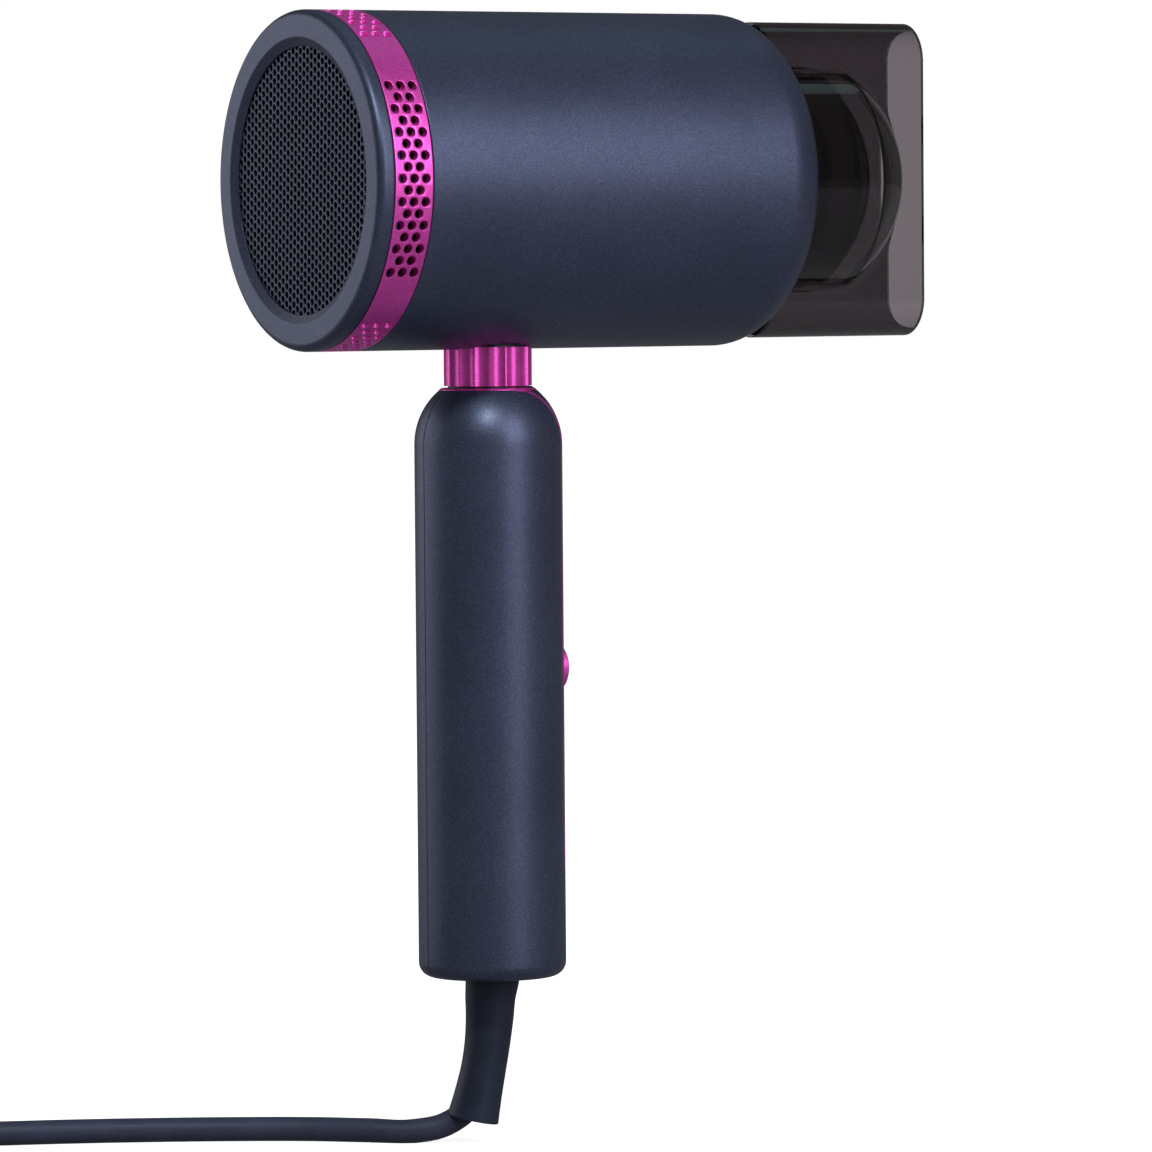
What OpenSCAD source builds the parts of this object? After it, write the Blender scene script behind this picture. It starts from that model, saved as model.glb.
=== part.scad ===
// Hair dryer: a round barrel on a round handle, with a clear concentrator nozzle.
// +X points out of the nozzle, +Z up; the origin is on the handle's axis, half way up the handle.

/* [Barrel] */
// Outside diameter of the barrel, vent ring and rear bezel
barrel_d = 80; // [67:1:96]
// Wall of the barrel, vent ring and bezel skirt
barrel_wall = 2; // [1.6:0.1:2.6]
// Front plane of the barrel, ahead of the handle's axis
barrel_front = 73; // [68:1:88]
// Radius that rounds the barrel's front edge down to the outlet
front_round = 11.5; // [8:0.5:12.5]
// Rear face of the bezel, behind the handle's axis
rear_reach = 50.9; // [50:0.1:61]
// Gap between parts that slide, turn or meet at a seam
slip = 0.2; // [0.15:0.05:0.3]
// Gap between parts that only pass each other
clear = 0.4; // [0.3:0.1:0.6]

/* [Rear] */
// Thickness of the rear bezel from front to back
bezel_t = 4; // [3.4:0.1:4.8]
// Radius that rounds the bezel's rear edge
bezel_round = 2; // [1:0.25:2.5]
// Width of the flat rim round the bevel of the bezel
rim_w = 6.2; // [5.2:0.1:7.4]
// Width of the bevel that runs down to the mesh
bevel_w = 2.4; // [1.6:0.1:2.8]
// Depth of the mesh below the bezel's rear face
mesh_depth = 1.4; // [1:0.1:1.7]
// Thickness of the intake mesh
mesh_t = 0.5; // [0.4:0.1:0.8]
// Pitch of the intake mesh's holes
mesh_pitch = 4.6; // [4:0.1:5.6]
// Width of the vent ring from front to back
ring_w = 9.9; // [9.4:0.1:12]
// Diameter of a vent hole
vent_d = 2.2; // [1.6:0.1:2.4]
// Distance between neighbouring vent holes
vent_pitch = 3.1; // [2.8:0.1:3.3]
// Rows of vent holes in each group
vent_rows = 17; // [9:2:19]

/* [Nozzle] */
// Distance from the barrel's front plane to the nozzle's mouth
nozzle_len = 45.2; // [40:0.2:54]
// Height of the nozzle's flat part
nozzle_h = 76.4; // [64:0.2:80]
// Thickness of the nozzle's flat part
nozzle_t = 18.4; // [15:0.2:22]
// Wall of the nozzle
nozzle_wall = 1.8; // [1.4:0.1:2.2]
// Radius of the round collar behind the flat part
collar_r = 27.5; // [23:0.5:28]
// Length of the round collar ahead of the barrel
collar_len = 22; // [18:0.5:26]
// Length of the dome that closes the collar
dome_len = 17; // [14:0.5:20]
// Gap between the nozzle and the barrel's front plane
nozzle_gap = 0.4; // [0.3:0.1:0.8]
// Length of the spigot that plugs into the swivel ring
spigot_len = 8; // [6:0.5:9]
// Wall of the swivel ring
swivel_wall = 2.6; // [2:0.1:3]

/* [Handle] */
// Diameter of the handle
handle_d = 35.2; // [30:0.2:42]
// Length of the handle
handle_len = 140; // [118:1:168]
// Wall of the handle shells
handle_wall = 2; // [1.6:0.1:2.4]
// Radius of the shoulder under the neck
shoulder_r = 17; // [14.5:0.5:17]
// Radius of the handle's top, where the shoulder ends
seat_r = 11.2; // [10.9:0.1:12]
// Radius that rounds the handle's foot
foot_r = 3.5; // [2.5:0.5:4]
// Height of the neck that shows between handle and barrel
neck_h = 9.3; // [8:0.1:12]
// Radius of the fluted neck collar
neck_r = 10.5; // [9.5:0.1:10.6]
// Number of flutes round the neck collar
flutes = 17; // [13:1:21]
// Depth of a flute
flute_depth = 0.8; // [0.5:0.1:1]
// Outside radius of the tube through the neck
tube_r = 6.6; // [5.5:0.1:7]
// Width of the trim line
trim_w = 0.55; // [0.4:0.05:0.8]
// Height of the centre of the trim's round lower end above the origin
trim_low = -40; // [-44:1:-34]

/* [Button] */
// Height of the button's centre above the origin
button_z = 3.1; // [-5:0.1:8]
// Radius of the button
button_r = 5.6; // [4.6:0.1:6]
// How far the button stands out of the handle
button_proud = 2.2; // [1.8:0.1:2.6]
// How far the button travels
button_travel = 1; // [0.6:0.1:1.2]

/* [Fan and heater] */
// Wall of the fan duct
duct_wall = 1.2; // [1:0.1:1.6]
// Gap between the barrel shell and the fan duct
duct_gap = 2; // [1.5:0.1:2.5]
// Number of fan blades
blades = 9; // [5:2:13]
// Radius of the motor
motor_r = 13; // [11:0.5:15]
// Radius of the motor's shaft
shaft_r = 1.5; // [1.25:0.25:2]
// Radius of the heating coil's loops
coil_loop_r = 22; // [18:0.5:23]
// Number of the heating coil's loops
coil_loops = 6; // [4:1:7]
// Radius of the mica sleeve round the heater
sleeve_r = 26.5; // [24:0.5:27.5]

/* [Cord] */
// Diameter of the power cord
cord_d = 5.8; // [5.2:0.1:6.4]
// Radius of the strain relief where it leaves the handle
relief_r = 6.5; // [6:0.1:7.5]
// Turns of cord side by side in the stored coil
coil_wide = 4; // [3:1:5]
// Layers of cord in the stored coil
coil_high = 2; // [2:1:3]
// Radius of the stored coil at the middle of its turns
coil_mid_r = 34; // [29:1:35]

/* [Hidden] */
$fn = 64;

navy = [0.22, 0.25, 0.33];
charcoal = [0.14, 0.15, 0.18];
magenta = [0.78, 0.10, 0.52];
smoke = [0.35, 0.32, 0.33, 0.5];
steel = [0.72, 0.73, 0.75];
mica = [0.72, 0.62, 0.45];
nylon = [0.85, 0.84, 0.80];

// Barrel
barrel_r = barrel_d / 2;
bore_r = barrel_r - barrel_wall;
axis_z = handle_len / 2 + neck_h + barrel_r;
ring_back = -rear_reach + bezel_t + slip;
ring_front = ring_back + ring_w;
shell_back = ring_front + slip;
outlet_r = barrel_r - front_round;

// Rear cover
rim_r = barrel_r - rim_w;
window_r = rim_r - bevel_w;
mesh_back = -rear_reach + mesh_depth;
mesh_r = bore_r - slip - 2 * barrel_wall;
skirt_r = bore_r - slip;
skirt_len = 3;

// Fan, motor and heater, from back to front
duct_r = bore_r - duct_gap;
duct_in = duct_r - duct_wall;
duct_back = shell_back + 2;
fan_back = duct_back + 1;
fan_len = 12;
motor_back = fan_back + fan_len + 4;
cap_t = 3;
can_len = 26;
can_wall = 1.5;
bearing_r = 4;
vane_len = 16;
shaft_run = 0.05;
heat_back = motor_back + cap_t + can_len + 4;
heat_front = barrel_front - 17;
duct_front = heat_front + 3;
grille_t = 3;
board_t = 0.8;
wire_r = 0.6;

// Swivel ring and nozzle
swivel_r = outlet_r - slip;
swivel_in = swivel_r - swivel_wall;
swivel_back = duct_front + grille_t + clear;
swivel_front = barrel_front - clear;
flange_t = 1.6;
flange_w = 3;
flange_back = barrel_front - front_round + sqrt(pow(front_round - barrel_wall, 2) - pow(flange_w - slip, 2))
    - clear - flange_t;
spigot_r = swivel_in - slip;
nozzle_back = barrel_front + nozzle_gap;
mouth_x = barrel_front + nozzle_len;
collar_end = barrel_front + collar_len;

// Handle
handle_r = handle_d / 2;
top_z = handle_len / 2;
trim_out = seat_r + 0.1;
trim_in = trim_out - trim_w;
chassis_x = 7;
chassis_t = 1.5;
chassis_w = 10;
chassis_top = top_z - 20;
chassis_low = -top_z + 12;
screw_r = 1.2;
boss_r = 3;
screw_zs = [chassis_top - 4, chassis_low + 6];
pcb_t = 1.6;
standoff = 2.4;
pcb_x = chassis_x - standoff - pcb_t;
pcb_low = screw_zs[1] + boss_r + 1;
pcb_top = screw_zs[0] - boss_r - 1;
switch_t = 2.5;
plunger_r = 1.7;
lead_d = 1.8;
flange_front = sqrt(pow(handle_r - handle_wall, 2) - pow(button_r + 0.8, 2)) - clear;
button_flange_t = 1.5;
button_dome = 1.2;

// Strain relief: points down its middle, its radius at each as a share of the largest, and its bore's radius
relief_path = [[0, 0, -66], [0, 0, -70], [-0.5, 0.3, -75], [-0.7, 0.4, -80], [-1.2, 0.7, -86], [-2, 1.2, -92],
    [-3.1, 1.8, -98], [-4.1, 2.4, -103]];
relief_share = [1, 1, 0.93, 0.88, 0.84, 0.83, 0.87, 0.95];
relief_bore = [3.4, 3.4, 3.4, 3.4, 3.5, 3.8, 4.4, 5.1];

// Free cord: points by hand from the clamp to the coil, then from the coil to the plug
floor_z = -110;
cord_r = cord_d / 2;
cord_low = floor_z + cord_r;
cord_route = [[0, 0, -60], [0, 0, -70], [-0.7, 0.4, -80], [-1.4, 0.8, -90], [-3.3, 1.9, -98.5], [-8.6, 5.1, -104.8],
    [-16, 9.5, cord_low], [-25, 17, cord_low], [-34.5, 26, cord_low], [-50, 36.5, cord_low], [-68, 46.5, cord_low],
    [-86, 55, cord_low], [-105, 62.5, cord_low], [-123, 70.5, cord_low], [-140, 79.3, cord_low]];
coil_at = [-162, 42.5];
coil_w = coil_wide * cord_d;
coil_h = coil_high * cord_d;
coil_out = coil_mid_r + coil_w / 2;
coil_in = coil_mid_r - coil_w / 2;
tie_t = 1;
tie_w = 9;
tail_route = [[-131.8, 12.3, -101.3], [-125.7, 21.4, -100.3], [-123.6, 32.1, -97.5], [-125.7, 42.8, -94],
    [-131.8, 52, -90.5], [-140.9, 58, -87.5], [-152, 60, -86.4]];
plug_at = [-152, 60, -86.4];
plug_turn = 180;
plug_boot = 14;
plug_len = 34;
plug_w = 36;
plug_h = 24;
pin_r = 2.4;
pin_len = 19;
pin_gap = 19;

// Children turned so that their own Z runs along the barrel's axis, from x = at
module along_barrel(at = 0) {
    translate([at, 0, axis_z]) rotate([0, 90, 0]) children();
}

// A ring about the children's Z axis
module ring(r_out, r_in, h) {
    difference() {
        cylinder(r = r_out, h = h);
        translate([0, 0, -1]) cylinder(r = r_in, h = h + 2);
    }
}

// Half section of a disc whose far edge is rounded: radius by height
module rounded_section(r, h, round_r) {
    square([r, h - round_r]);
    square([r - round_r, h]);
    translate([r - round_r, h - round_r]) circle(round_r);
}

// Curve through the middle stretch of four points
function curve_point(a, b, c, d, t) = 0.5 * (2 * b + (c - a) * t + (2 * a - 5 * b + 4 * c - d) * t * t
    + (3 * b - a - 3 * c + d) * t * t * t);

// A route with one more point between each two, on a smooth curve
function smooth_route(route) = let (n = len(route)) concat([for (i = [0:n - 2]) each
    let (a = route[max(i - 1, 0)], b = route[i], c = route[i + 1], d = route[min(i + 2, n - 1)])
    [b, curve_point(a, b, c, d, 0.5)]], [route[n - 1]]);

function unit(v) = v / norm(v);

// Points round one ring of a tube, square to the route; side is a direction across the route
function tube_ring(route, i, r, side, sides) = let (n = len(route),
    ahead = unit(route[min(i + 1, n - 1)] - route[max(i - 1, 0)]),
    across = unit(cross(ahead, side)), up = cross(across, ahead))
    [for (k = [0:sides - 1]) route[i] + r * (cos(360 * k / sides) * up + sin(360 * k / sides) * across)];

// Faces of the wall between two rows of rings
function wall_faces(first, second, sides) = [for (k = [0:sides - 1]) let (next = (k + 1) % sides)
    [first + k, first + next, second + next, second + k]];

// A round solid swept along a route
module tube(route, r, side, sides = 10) {
    n = len(route);
    polyhedron(points = [for (i = [0:n - 1]) each tube_ring(route, i, r, side, sides)],
        faces = concat([[for (k = [0:sides - 1]) sides - 1 - k]],
            [for (i = [0:n - 2]) each wall_faces(i * sides, (i + 1) * sides, sides)],
            [[for (k = [0:sides - 1]) (n - 1) * sides + k]]));
}

module barrel_shell() color(navy) difference() {
    along_barrel(shell_back) rotate_extrude() difference() {
        rounded_section(barrel_r, barrel_front - shell_back, front_round);
        translate([0, -barrel_wall]) rounded_section(bore_r, barrel_front - shell_back, front_round - barrel_wall);
        translate([0, -1]) square([outlet_r, barrel_front - shell_back + 2]);
    }
    translate([0, 0, axis_z - barrel_r - 1]) cylinder(r = tube_r + slip, h = barrel_r / 2);
}

// One group of vent holes, drilled along the children's Z axis
module vent_drills() {
    row_rise = vent_pitch * sqrt(3) / 2;
    for (row = [0:vent_rows - 1]) {
        count = row % 2 == 0 ? 3 : 2;
        for (k = [0:count - 1])
            translate([(k - (count - 1) / 2) * vent_pitch, (row - (vent_rows - 1) / 2) * row_rise, 0])
                cylinder(d = vent_d, h = barrel_d + 2, center = true, $fn = 24);
    }
}

module vent_ring() color(magenta) difference() {
    along_barrel(ring_back) ring(barrel_r, bore_r, ring_w);
    translate([ring_back + ring_w / 2, 0, axis_z]) {
        rotate([90, 0, 0]) vent_drills();
        vent_drills();
    }
}

module rear_bezel() color(navy) along_barrel(-rear_reach) rotate_extrude() difference() {
    union() {
        translate([0, bezel_t]) mirror([0, 1]) rounded_section(barrel_r, bezel_t, bezel_round);
        square([skirt_r, bezel_t + skirt_len]);
    }
    polygon([[0, -1], [rim_r, -1], [rim_r, 0], [window_r, mesh_depth], [mesh_r, mesh_depth],
        [mesh_r, bezel_t + skirt_len + 1], [0, bezel_t + skirt_len + 1]]);
}

module intake_mesh() color(charcoal) along_barrel(mesh_back) linear_extrude(mesh_t) difference() {
    circle(mesh_r - slip / 2);
    rows = floor(window_r / (mesh_pitch * sqrt(3) / 2));
    for (row = [-rows:rows]) {
        shift = abs(row) % 2 == 1 ? mesh_pitch / 2 : 0;
        rise = row * mesh_pitch * sqrt(3) / 2;
        for (k = [-rows:rows]) {
            along = k * mesh_pitch + shift;
            if (norm([along, rise]) < window_r - mesh_pitch / 2)
                translate([along, rise]) circle(d = mesh_pitch - 1.2, $fn = 24);
        }
    }
}

module mesh_retainer() color(charcoal) along_barrel(mesh_back + mesh_t)
    ring(mesh_r - slip / 2, window_r + 0.5, bezel_t - mesh_depth - mesh_t + 1);

module fan_duct() color(nylon) along_barrel(duct_back) {
    length = duct_front - duct_back;
    ring(duct_r, duct_in, length);
    for (at = [0, 0.8]) translate([0, 0, at * length]) ring(bore_r, duct_in, 1.5);
}

module fan_impeller() color(charcoal) along_barrel(fan_back) intersection() {
    difference() {
        union() {
            cylinder(r = motor_r, h = fan_len);
            for (k = [0:blades - 1]) rotate(360 * k / blades)
                translate([motor_r - 1, 0, fan_len / 2]) rotate([50, 0, 0])
                    translate([0, -fan_len / 2, -0.7]) cube([duct_in, fan_len, 1.4]);
        }
        translate([0, 0, -1]) cylinder(r = shaft_r, h = fan_len + 2);
        translate([0, 0, fan_len / 2]) ring(motor_r - 2, bearing_r, fan_len);
    }
    cylinder(r = duct_in - clear, h = fan_len);
}

module motor_shaft() color(steel) along_barrel(fan_back + 1)
    cylinder(r = shaft_r, h = motor_back + cap_t + can_len - fan_back - 2);

module rotor_core() color(steel) along_barrel(motor_back + cap_t + 4)
    ring(motor_r - can_wall - 3, shaft_r, can_len - cap_t - 8);

module motor_can() color(steel) along_barrel(motor_back + cap_t) difference() {
    cylinder(r = motor_r, h = can_len);
    translate([0, 0, -1]) cylinder(r = motor_r - can_wall, h = can_len - cap_t + 1);
    cylinder(r = bearing_r, h = can_len + 1);
}

module motor_magnets() color(charcoal) along_barrel(motor_back + cap_t + 4)
    ring(motor_r - can_wall, motor_r - can_wall - 3 + clear, can_len - cap_t - 8);

module motor_end_cap() color(nylon) along_barrel(motor_back) ring(motor_r, bearing_r, cap_t);

module bearing(at) color(steel) along_barrel(at) ring(bearing_r, shaft_r + shaft_run, cap_t);

module bearing_rear() bearing(motor_back);

module bearing_front() bearing(motor_back + cap_t + can_len - cap_t);

module motor_mount() color(nylon) along_barrel(motor_back + cap_t) difference() {
    cylinder(r = duct_in, h = vane_len);
    translate([0, 0, -1]) cylinder(r = motor_r, h = vane_len + 2);
    difference() {
        translate([0, 0, -1]) ring(duct_in - 1.2, motor_r + 1.2, vane_len + 2);
        for (k = [0:6]) rotate(360 * k / 7)
            translate([motor_r, -0.6, -2]) cube([duct_in - motor_r, 1.2, vane_len + 4]);
    }
}

module heater_boards() color(mica) translate([heat_back, 0, axis_z]) {
    length = heat_front - heat_back;
    half = coil_loop_r - wire_r - 0.1;
    translate([0, -half, -board_t / 2]) cube([length, 2 * half, board_t]);
    translate([0, -board_t / 2, -half]) cube([length, board_t, 2 * half]);
}

module heating_coil() color(steel) along_barrel(heat_back + 3) {
    step = (heat_front - heat_back - 6) / (coil_loops - 1);
    for (k = [0:coil_loops - 1]) translate([0, 0, k * step])
        rotate_extrude() translate([coil_loop_r, 0]) circle(wire_r);
    rotate(45) translate([coil_loop_r, 0, 0]) cylinder(r = wire_r * 0.7, h = (coil_loops - 1) * step);
}

module heat_sleeve() color(mica) along_barrel(heat_back - 1) ring(sleeve_r, sleeve_r - 0.8, duct_front - heat_back + 1);

module thermostat() color(steel) translate([heat_back + 12, coil_loop_r / 2, axis_z + board_t / 2])
    cylinder(r = 4, h = 3);

module thermal_fuse() color(nylon) translate([heat_back + 20, -coil_loop_r / 2, axis_z + board_t / 2 + 1.5])
    rotate([0, 90, 0]) cylinder(r = 1.5, h = 10);

module outlet_grille() color(charcoal) along_barrel(duct_front) difference() {
    cylinder(r = duct_r, h = grille_t);
    difference() {
        translate([0, 0, -1]) for (k = [1:4])
            ring(k < 4 ? sleeve_r * k / 4 - 0.6 : sleeve_r - 1, k > 1 ? sleeve_r * (k - 1) / 4 + 0.6 : 3, grille_t + 2);
        for (k = [0:5]) rotate(30 + 60 * k) translate([0, -0.6, -2]) cube([sleeve_r, 1.2, grille_t + 4]);
    }
    for (k = [0:3]) rotate(45 + 90 * k) translate([duct_r - 3.4, 0, -1]) cylinder(r = screw_r, h = grille_t + 2);
}

module grille_screws() color(steel) for (k = [0:3])
    along_barrel(duct_front) rotate(45 + 90 * k) translate([duct_r - 3.4, 0, 0]) cylinder(r = screw_r, h = grille_t);

module swivel_ring() color(charcoal) along_barrel(swivel_back) difference() {
    union() {
        cylinder(r = swivel_r, h = swivel_front - swivel_back);
        translate([0, 0, flange_back - swivel_back]) cylinder(r = swivel_r + flange_w, h = flange_t);
    }
    translate([0, 0, -1]) cylinder(r = swivel_in, h = swivel_front - swivel_back + 2);
}

// Flat part of the nozzle: a tall slab with fully round ends, from one x to another
module slab(height, thick, from, to) {
    translate([from, 0, axis_z]) rotate([0, 90, 0]) linear_extrude(to - from) {
        square([height - thick, thick], center = true);
        for (end = [-1, 1]) translate([end * (height - thick) / 2, 0]) circle(thick / 2);
    }
}

// Round part of the nozzle: a collar that a dome closes at its front
module dome(r, from, end, rise) {
    along_barrel(from) cylinder(r = r, h = end - from);
    along_barrel(end) rotate_extrude() intersection() {
        big = (r * r + rise * rise) / (2 * rise);
        translate([0, rise - big]) circle(big, $fn = 96);
        square([r, rise]);
    }
}

module nozzle() color(smoke) difference() {
    union() {
        slab(nozzle_h, nozzle_t, nozzle_back, mouth_x);
        dome(collar_r, nozzle_back, collar_end, dome_len);
        along_barrel(barrel_front - spigot_len) cylinder(r = spigot_r, h = spigot_len + nozzle_gap + nozzle_wall);
    }
    slab(nozzle_h - 2 * nozzle_wall, nozzle_t - 2 * nozzle_wall, nozzle_back + nozzle_wall, mouth_x + 1);
    dome(collar_r - nozzle_wall, nozzle_back + nozzle_wall, collar_end, dome_len - nozzle_wall);
    along_barrel(barrel_front - spigot_len - 1) cylinder(r = spigot_r - nozzle_wall, h = spigot_len + 4);
}

// A thin dome inside the nozzle that leads the air into the slot
module nozzle_funnel() color(smoke) difference() {
    funnel_r = collar_r - nozzle_wall;
    along_barrel(nozzle_back + nozzle_wall) rotate_extrude() difference() {
        intersection() {
            translate([0, -4]) circle(31, $fn = 96);
            square([funnel_r, 40]);
        }
        translate([0, -4]) circle(31 - 1.2, $fn = 96);
        square([funnel_r - 1.2, 12]);
    }
    slab(nozzle_h, nozzle_t - 2 * nozzle_wall, nozzle_back - 1, mouth_x);
}

module neck_collar() color(magenta) difference() {
    translate([0, 0, top_z - 3]) linear_extrude(neck_h + 8) difference() {
        circle(neck_r);
        circle(tube_r);
        for (k = [0:flutes - 1]) rotate(360 * (k + 0.5) / flutes)
            translate([neck_r + neck_r * 0.17 - flute_depth, 0]) circle(neck_r * 0.17, $fn = 32);
    }
    along_barrel(-barrel_r) cylinder(r = barrel_r, h = barrel_d);
}

module neck_tube() color(steel) translate([0, 0, top_z - 12]) ring(tube_r, tube_r - 1.2, neck_h + 12 + barrel_wall);

// Outline of the handle turned about Z, made smaller all round by the inset
module handle_solid(inset = 0) {
    r = handle_r - inset;
    shoulder_z = top_z - sqrt(pow(shoulder_r, 2) - pow(seat_r - handle_r + shoulder_r, 2));
    foot = foot_r - min(inset, foot_r - 0.5);
    rotate_extrude() {
        translate([0, -top_z + inset + foot]) square([r, shoulder_z + top_z - inset - foot]);
        translate([0, -top_z + inset]) square([r - foot, top_z]);
        intersection() {
            translate([r - foot, -top_z + inset + foot]) circle(foot);
            translate([0, -top_z]) square([r, top_z]);
        }
        intersection() {
            translate([handle_r - shoulder_r, shoulder_z]) circle(shoulder_r - inset);
            translate([0, shoulder_z - 1]) square([r, top_z - inset - shoulder_z + 1]);
        }
    }
}

module handle_wall_solid() {
    difference() {
        handle_solid();
        handle_solid(handle_wall);
    }
}

// The keyhole shape that the trim follows: a disc round the neck and a strip down the front
module keyhole(r) {
    cylinder(r = r, h = top_z + 1);
    translate([0, -r, trim_low]) cube([handle_r + 1, 2 * r, top_z + 1 - trim_low]);
    translate([0, 0, trim_low]) rotate([0, 90, 0]) cylinder(r = r, h = handle_r + 1);
}

module handle_half(side) {
    difference() {
        union() {
            difference() {
                handle_wall_solid();
                keyhole(trim_out + slip / 4);
            }
            for (z = screw_zs) intersection() {
                translate([-handle_r, 0, z]) rotate([0, 90, 0]) cylinder(r = boss_r, h = handle_r + chassis_x);
                handle_solid(handle_wall / 2);
            }
        }
        for (z = screw_zs) translate([-handle_r / 2, 0, z]) rotate([0, 90, 0])
            cylinder(r = screw_r, h = handle_r + chassis_x);
        translate([0, 0, -top_z - 1]) cylinder(r = relief_r + slip, h = handle_wall + 5);
        translate([-handle_r - 1, side > 0 ? -handle_r - 1 + slip / 2 : -slip / 2, -top_z - 1])
            cube([2 * handle_r + 2, handle_r + 1, handle_len + 2]);
    }
}

module handle_shell_left() color(navy) handle_half(1);

module handle_shell_right() color(navy) handle_half(-1);

module front_panel() color(navy) difference() {
    intersection() {
        handle_wall_solid();
        keyhole(trim_in - slip / 4);
        translate([0, -handle_r, -top_z]) cube([handle_r, 2 * handle_r, handle_len]);
    }
    translate([0, 0, top_z / 2]) cylinder(r = trim_out + slip / 4, h = top_z);
    translate([0, 0, button_z]) rotate([0, 90, 0]) cylinder(r = button_r + slip, h = handle_d);
}

module trim_band() color(magenta) intersection() {
    handle_wall_solid();
    union() {
        difference() {
            intersection() {
                keyhole(trim_out);
                translate([0, -handle_r, -top_z]) cube([handle_r, 2 * handle_r, handle_len + 1]);
            }
            keyhole(trim_in);
        }
        translate([0, 0, top_z / 2]) ring(trim_out, trim_in, top_z);
    }
}

module handle_chassis() color(charcoal) difference() {
    union() {
        translate([chassis_x, -chassis_w, chassis_low]) cube([chassis_t, 2 * chassis_w, chassis_top - chassis_low]);
        for (y = [-1, 1], z = [pcb_low + 3, pcb_top - 3])
            translate([chassis_x - standoff, y * (chassis_w - 3), z]) rotate([0, 90, 0]) cylinder(r = 2, h = standoff + 0.5);
    }
    for (z = screw_zs) translate([chassis_x - 1, 0, z]) rotate([0, 90, 0]) cylinder(r = screw_r + slip, h = 4);
}

module handle_screws() color(steel) for (z = screw_zs) translate([-handle_r / 2, 0, z]) rotate([0, 90, 0]) {
    cylinder(r = screw_r, h = handle_r / 2 + chassis_x + chassis_t);
    translate([0, 0, handle_r / 2 + chassis_x + chassis_t]) cylinder(r = 2.2, h = 1.6);
}

module circuit_board() color([0.05, 0.3, 0.15])
    translate([pcb_x, -chassis_w + 1, pcb_low]) cube([pcb_t, 2 * chassis_w - 2, pcb_top - pcb_low]);

module board_parts() color(charcoal) {
    translate([pcb_x, 0, pcb_low + 14]) rotate([0, -90, 0]) cylinder(r = 5, h = 11);
    translate([pcb_x - 8, -7, pcb_low + 26]) cube([8, 14, 10]);
    translate([pcb_x - 4, -5, pcb_low + 42]) cube([4, 10, 14]);
    translate([pcb_x, 0, pcb_top - 10]) rotate([0, -90, 0]) ring(6, 3, 5);
}

module switch_body() color(charcoal) translate([chassis_x + chassis_t, 0, button_z]) difference() {
    translate([0, -3, -3]) cube([switch_t, 6, 6]);
    translate([0.3, 0, 0]) rotate([0, 90, 0]) cylinder(r = plunger_r + 0.1, h = switch_t);
}

module switch_plunger() color(steel) {
    from = chassis_x + chassis_t + 0.3 + button_travel + slip;
    translate([from, 0, button_z]) rotate([0, 90, 0])
        cylinder(r = plunger_r, h = flange_front - button_flange_t - from);
}

module power_button() color(magenta) {
    back = flange_front - button_flange_t;
    front = handle_r + button_proud;
    rise = button_dome;
    big = (button_r * button_r + rise * rise) / (2 * rise);
    translate([back, 0, button_z]) rotate([0, 90, 0]) {
        cylinder(r = button_r + 0.8, h = button_flange_t);
        cylinder(r = button_r, h = front - rise - back);
        translate([0, 0, front - rise - back]) rotate_extrude() intersection() {
            translate([0, rise - big]) circle(big, $fn = 96);
            square([button_r, rise]);
        }
    }
}

module cord_clamp() color(charcoal) translate([0, 0, -top_z + handle_wall + 4]) difference() {
    translate([-8, -10, 0]) cube([14, 20, 7]);
    translate([0, 0, -1]) cylinder(r = cord_r, h = 9);
}

// Three leads that run up beside the board, through the neck and into the barrel
module wiring() color("red") for (k = [-1:1]) {
    route = [[-9, 8, chassis_low + 8], [-9, 8, 0], [-9, 8, screw_zs[0] - 14], [-6, 6.5, screw_zs[0]],
        [-1.5, 2, top_z - 13], [0, 0, top_z - 6], [0, 0, top_z + neck_h + barrel_wall + 1]];
    tube([for (p = route) p + [lead_d * k, 0, 0]], lead_d / 2 - 0.05, [0, 1, 0], 8);
}

module strain_relief() color(charcoal) {
    side = [0.508, 0.861, 0];
    sides = 16;
    n = len(relief_path);
    polyhedron(points = concat(
        [for (i = [0:n - 1]) each tube_ring(relief_path, i, relief_r * relief_share[i], side, sides)],
        [for (i = [0:n - 1]) each tube_ring(relief_path, i, relief_bore[i], side, sides)]),
        faces = concat([for (i = [0:n - 2]) each wall_faces(i * sides, (i + 1) * sides, sides)],
            [for (i = [0:n - 2]) each wall_faces((n + i + 1) * sides, (n + i) * sides, sides)],
            wall_faces(n * sides, 0, sides), wall_faces((n - 1) * sides, (2 * n - 1) * sides, sides)));
}

module power_cord() color(charcoal) tube(smooth_route(cord_route), cord_r, [0.508, 0.861, 0]);

module cord_coil() color(charcoal) translate([coil_at.x, coil_at.y, floor_z]) rotate_extrude()
    translate([coil_in, 0]) {
        translate([cord_r, 0]) square([coil_w - cord_d, coil_h]);
        translate([0, cord_r]) square([coil_w, coil_h - cord_d]);
        for (x = [cord_r, coil_w - cord_r], y = [cord_r, coil_h - cord_r]) translate([x, y]) circle(cord_r);
    }

module cord_tail() color(charcoal) tube(smooth_route(tail_route), cord_r, [0, 0, 1]);

module cord_tie() color([0.1, 0.1, 0.1]) translate([coil_at.x, coil_at.y, floor_z]) rotate(200) difference() {
    translate([coil_in - tie_t, -tie_w / 2, 0]) cube([coil_w + 2 * tie_t, tie_w, coil_h + tie_t]);
    translate([coil_in, -tie_w / 2 - 1, tie_t]) cube([coil_w, tie_w + 2, coil_h - tie_t]);
}

// Children placed with X out of the plug's face, at the end of the boot
module at_plug() {
    translate(plug_at) rotate(plug_turn) children();
}

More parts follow.
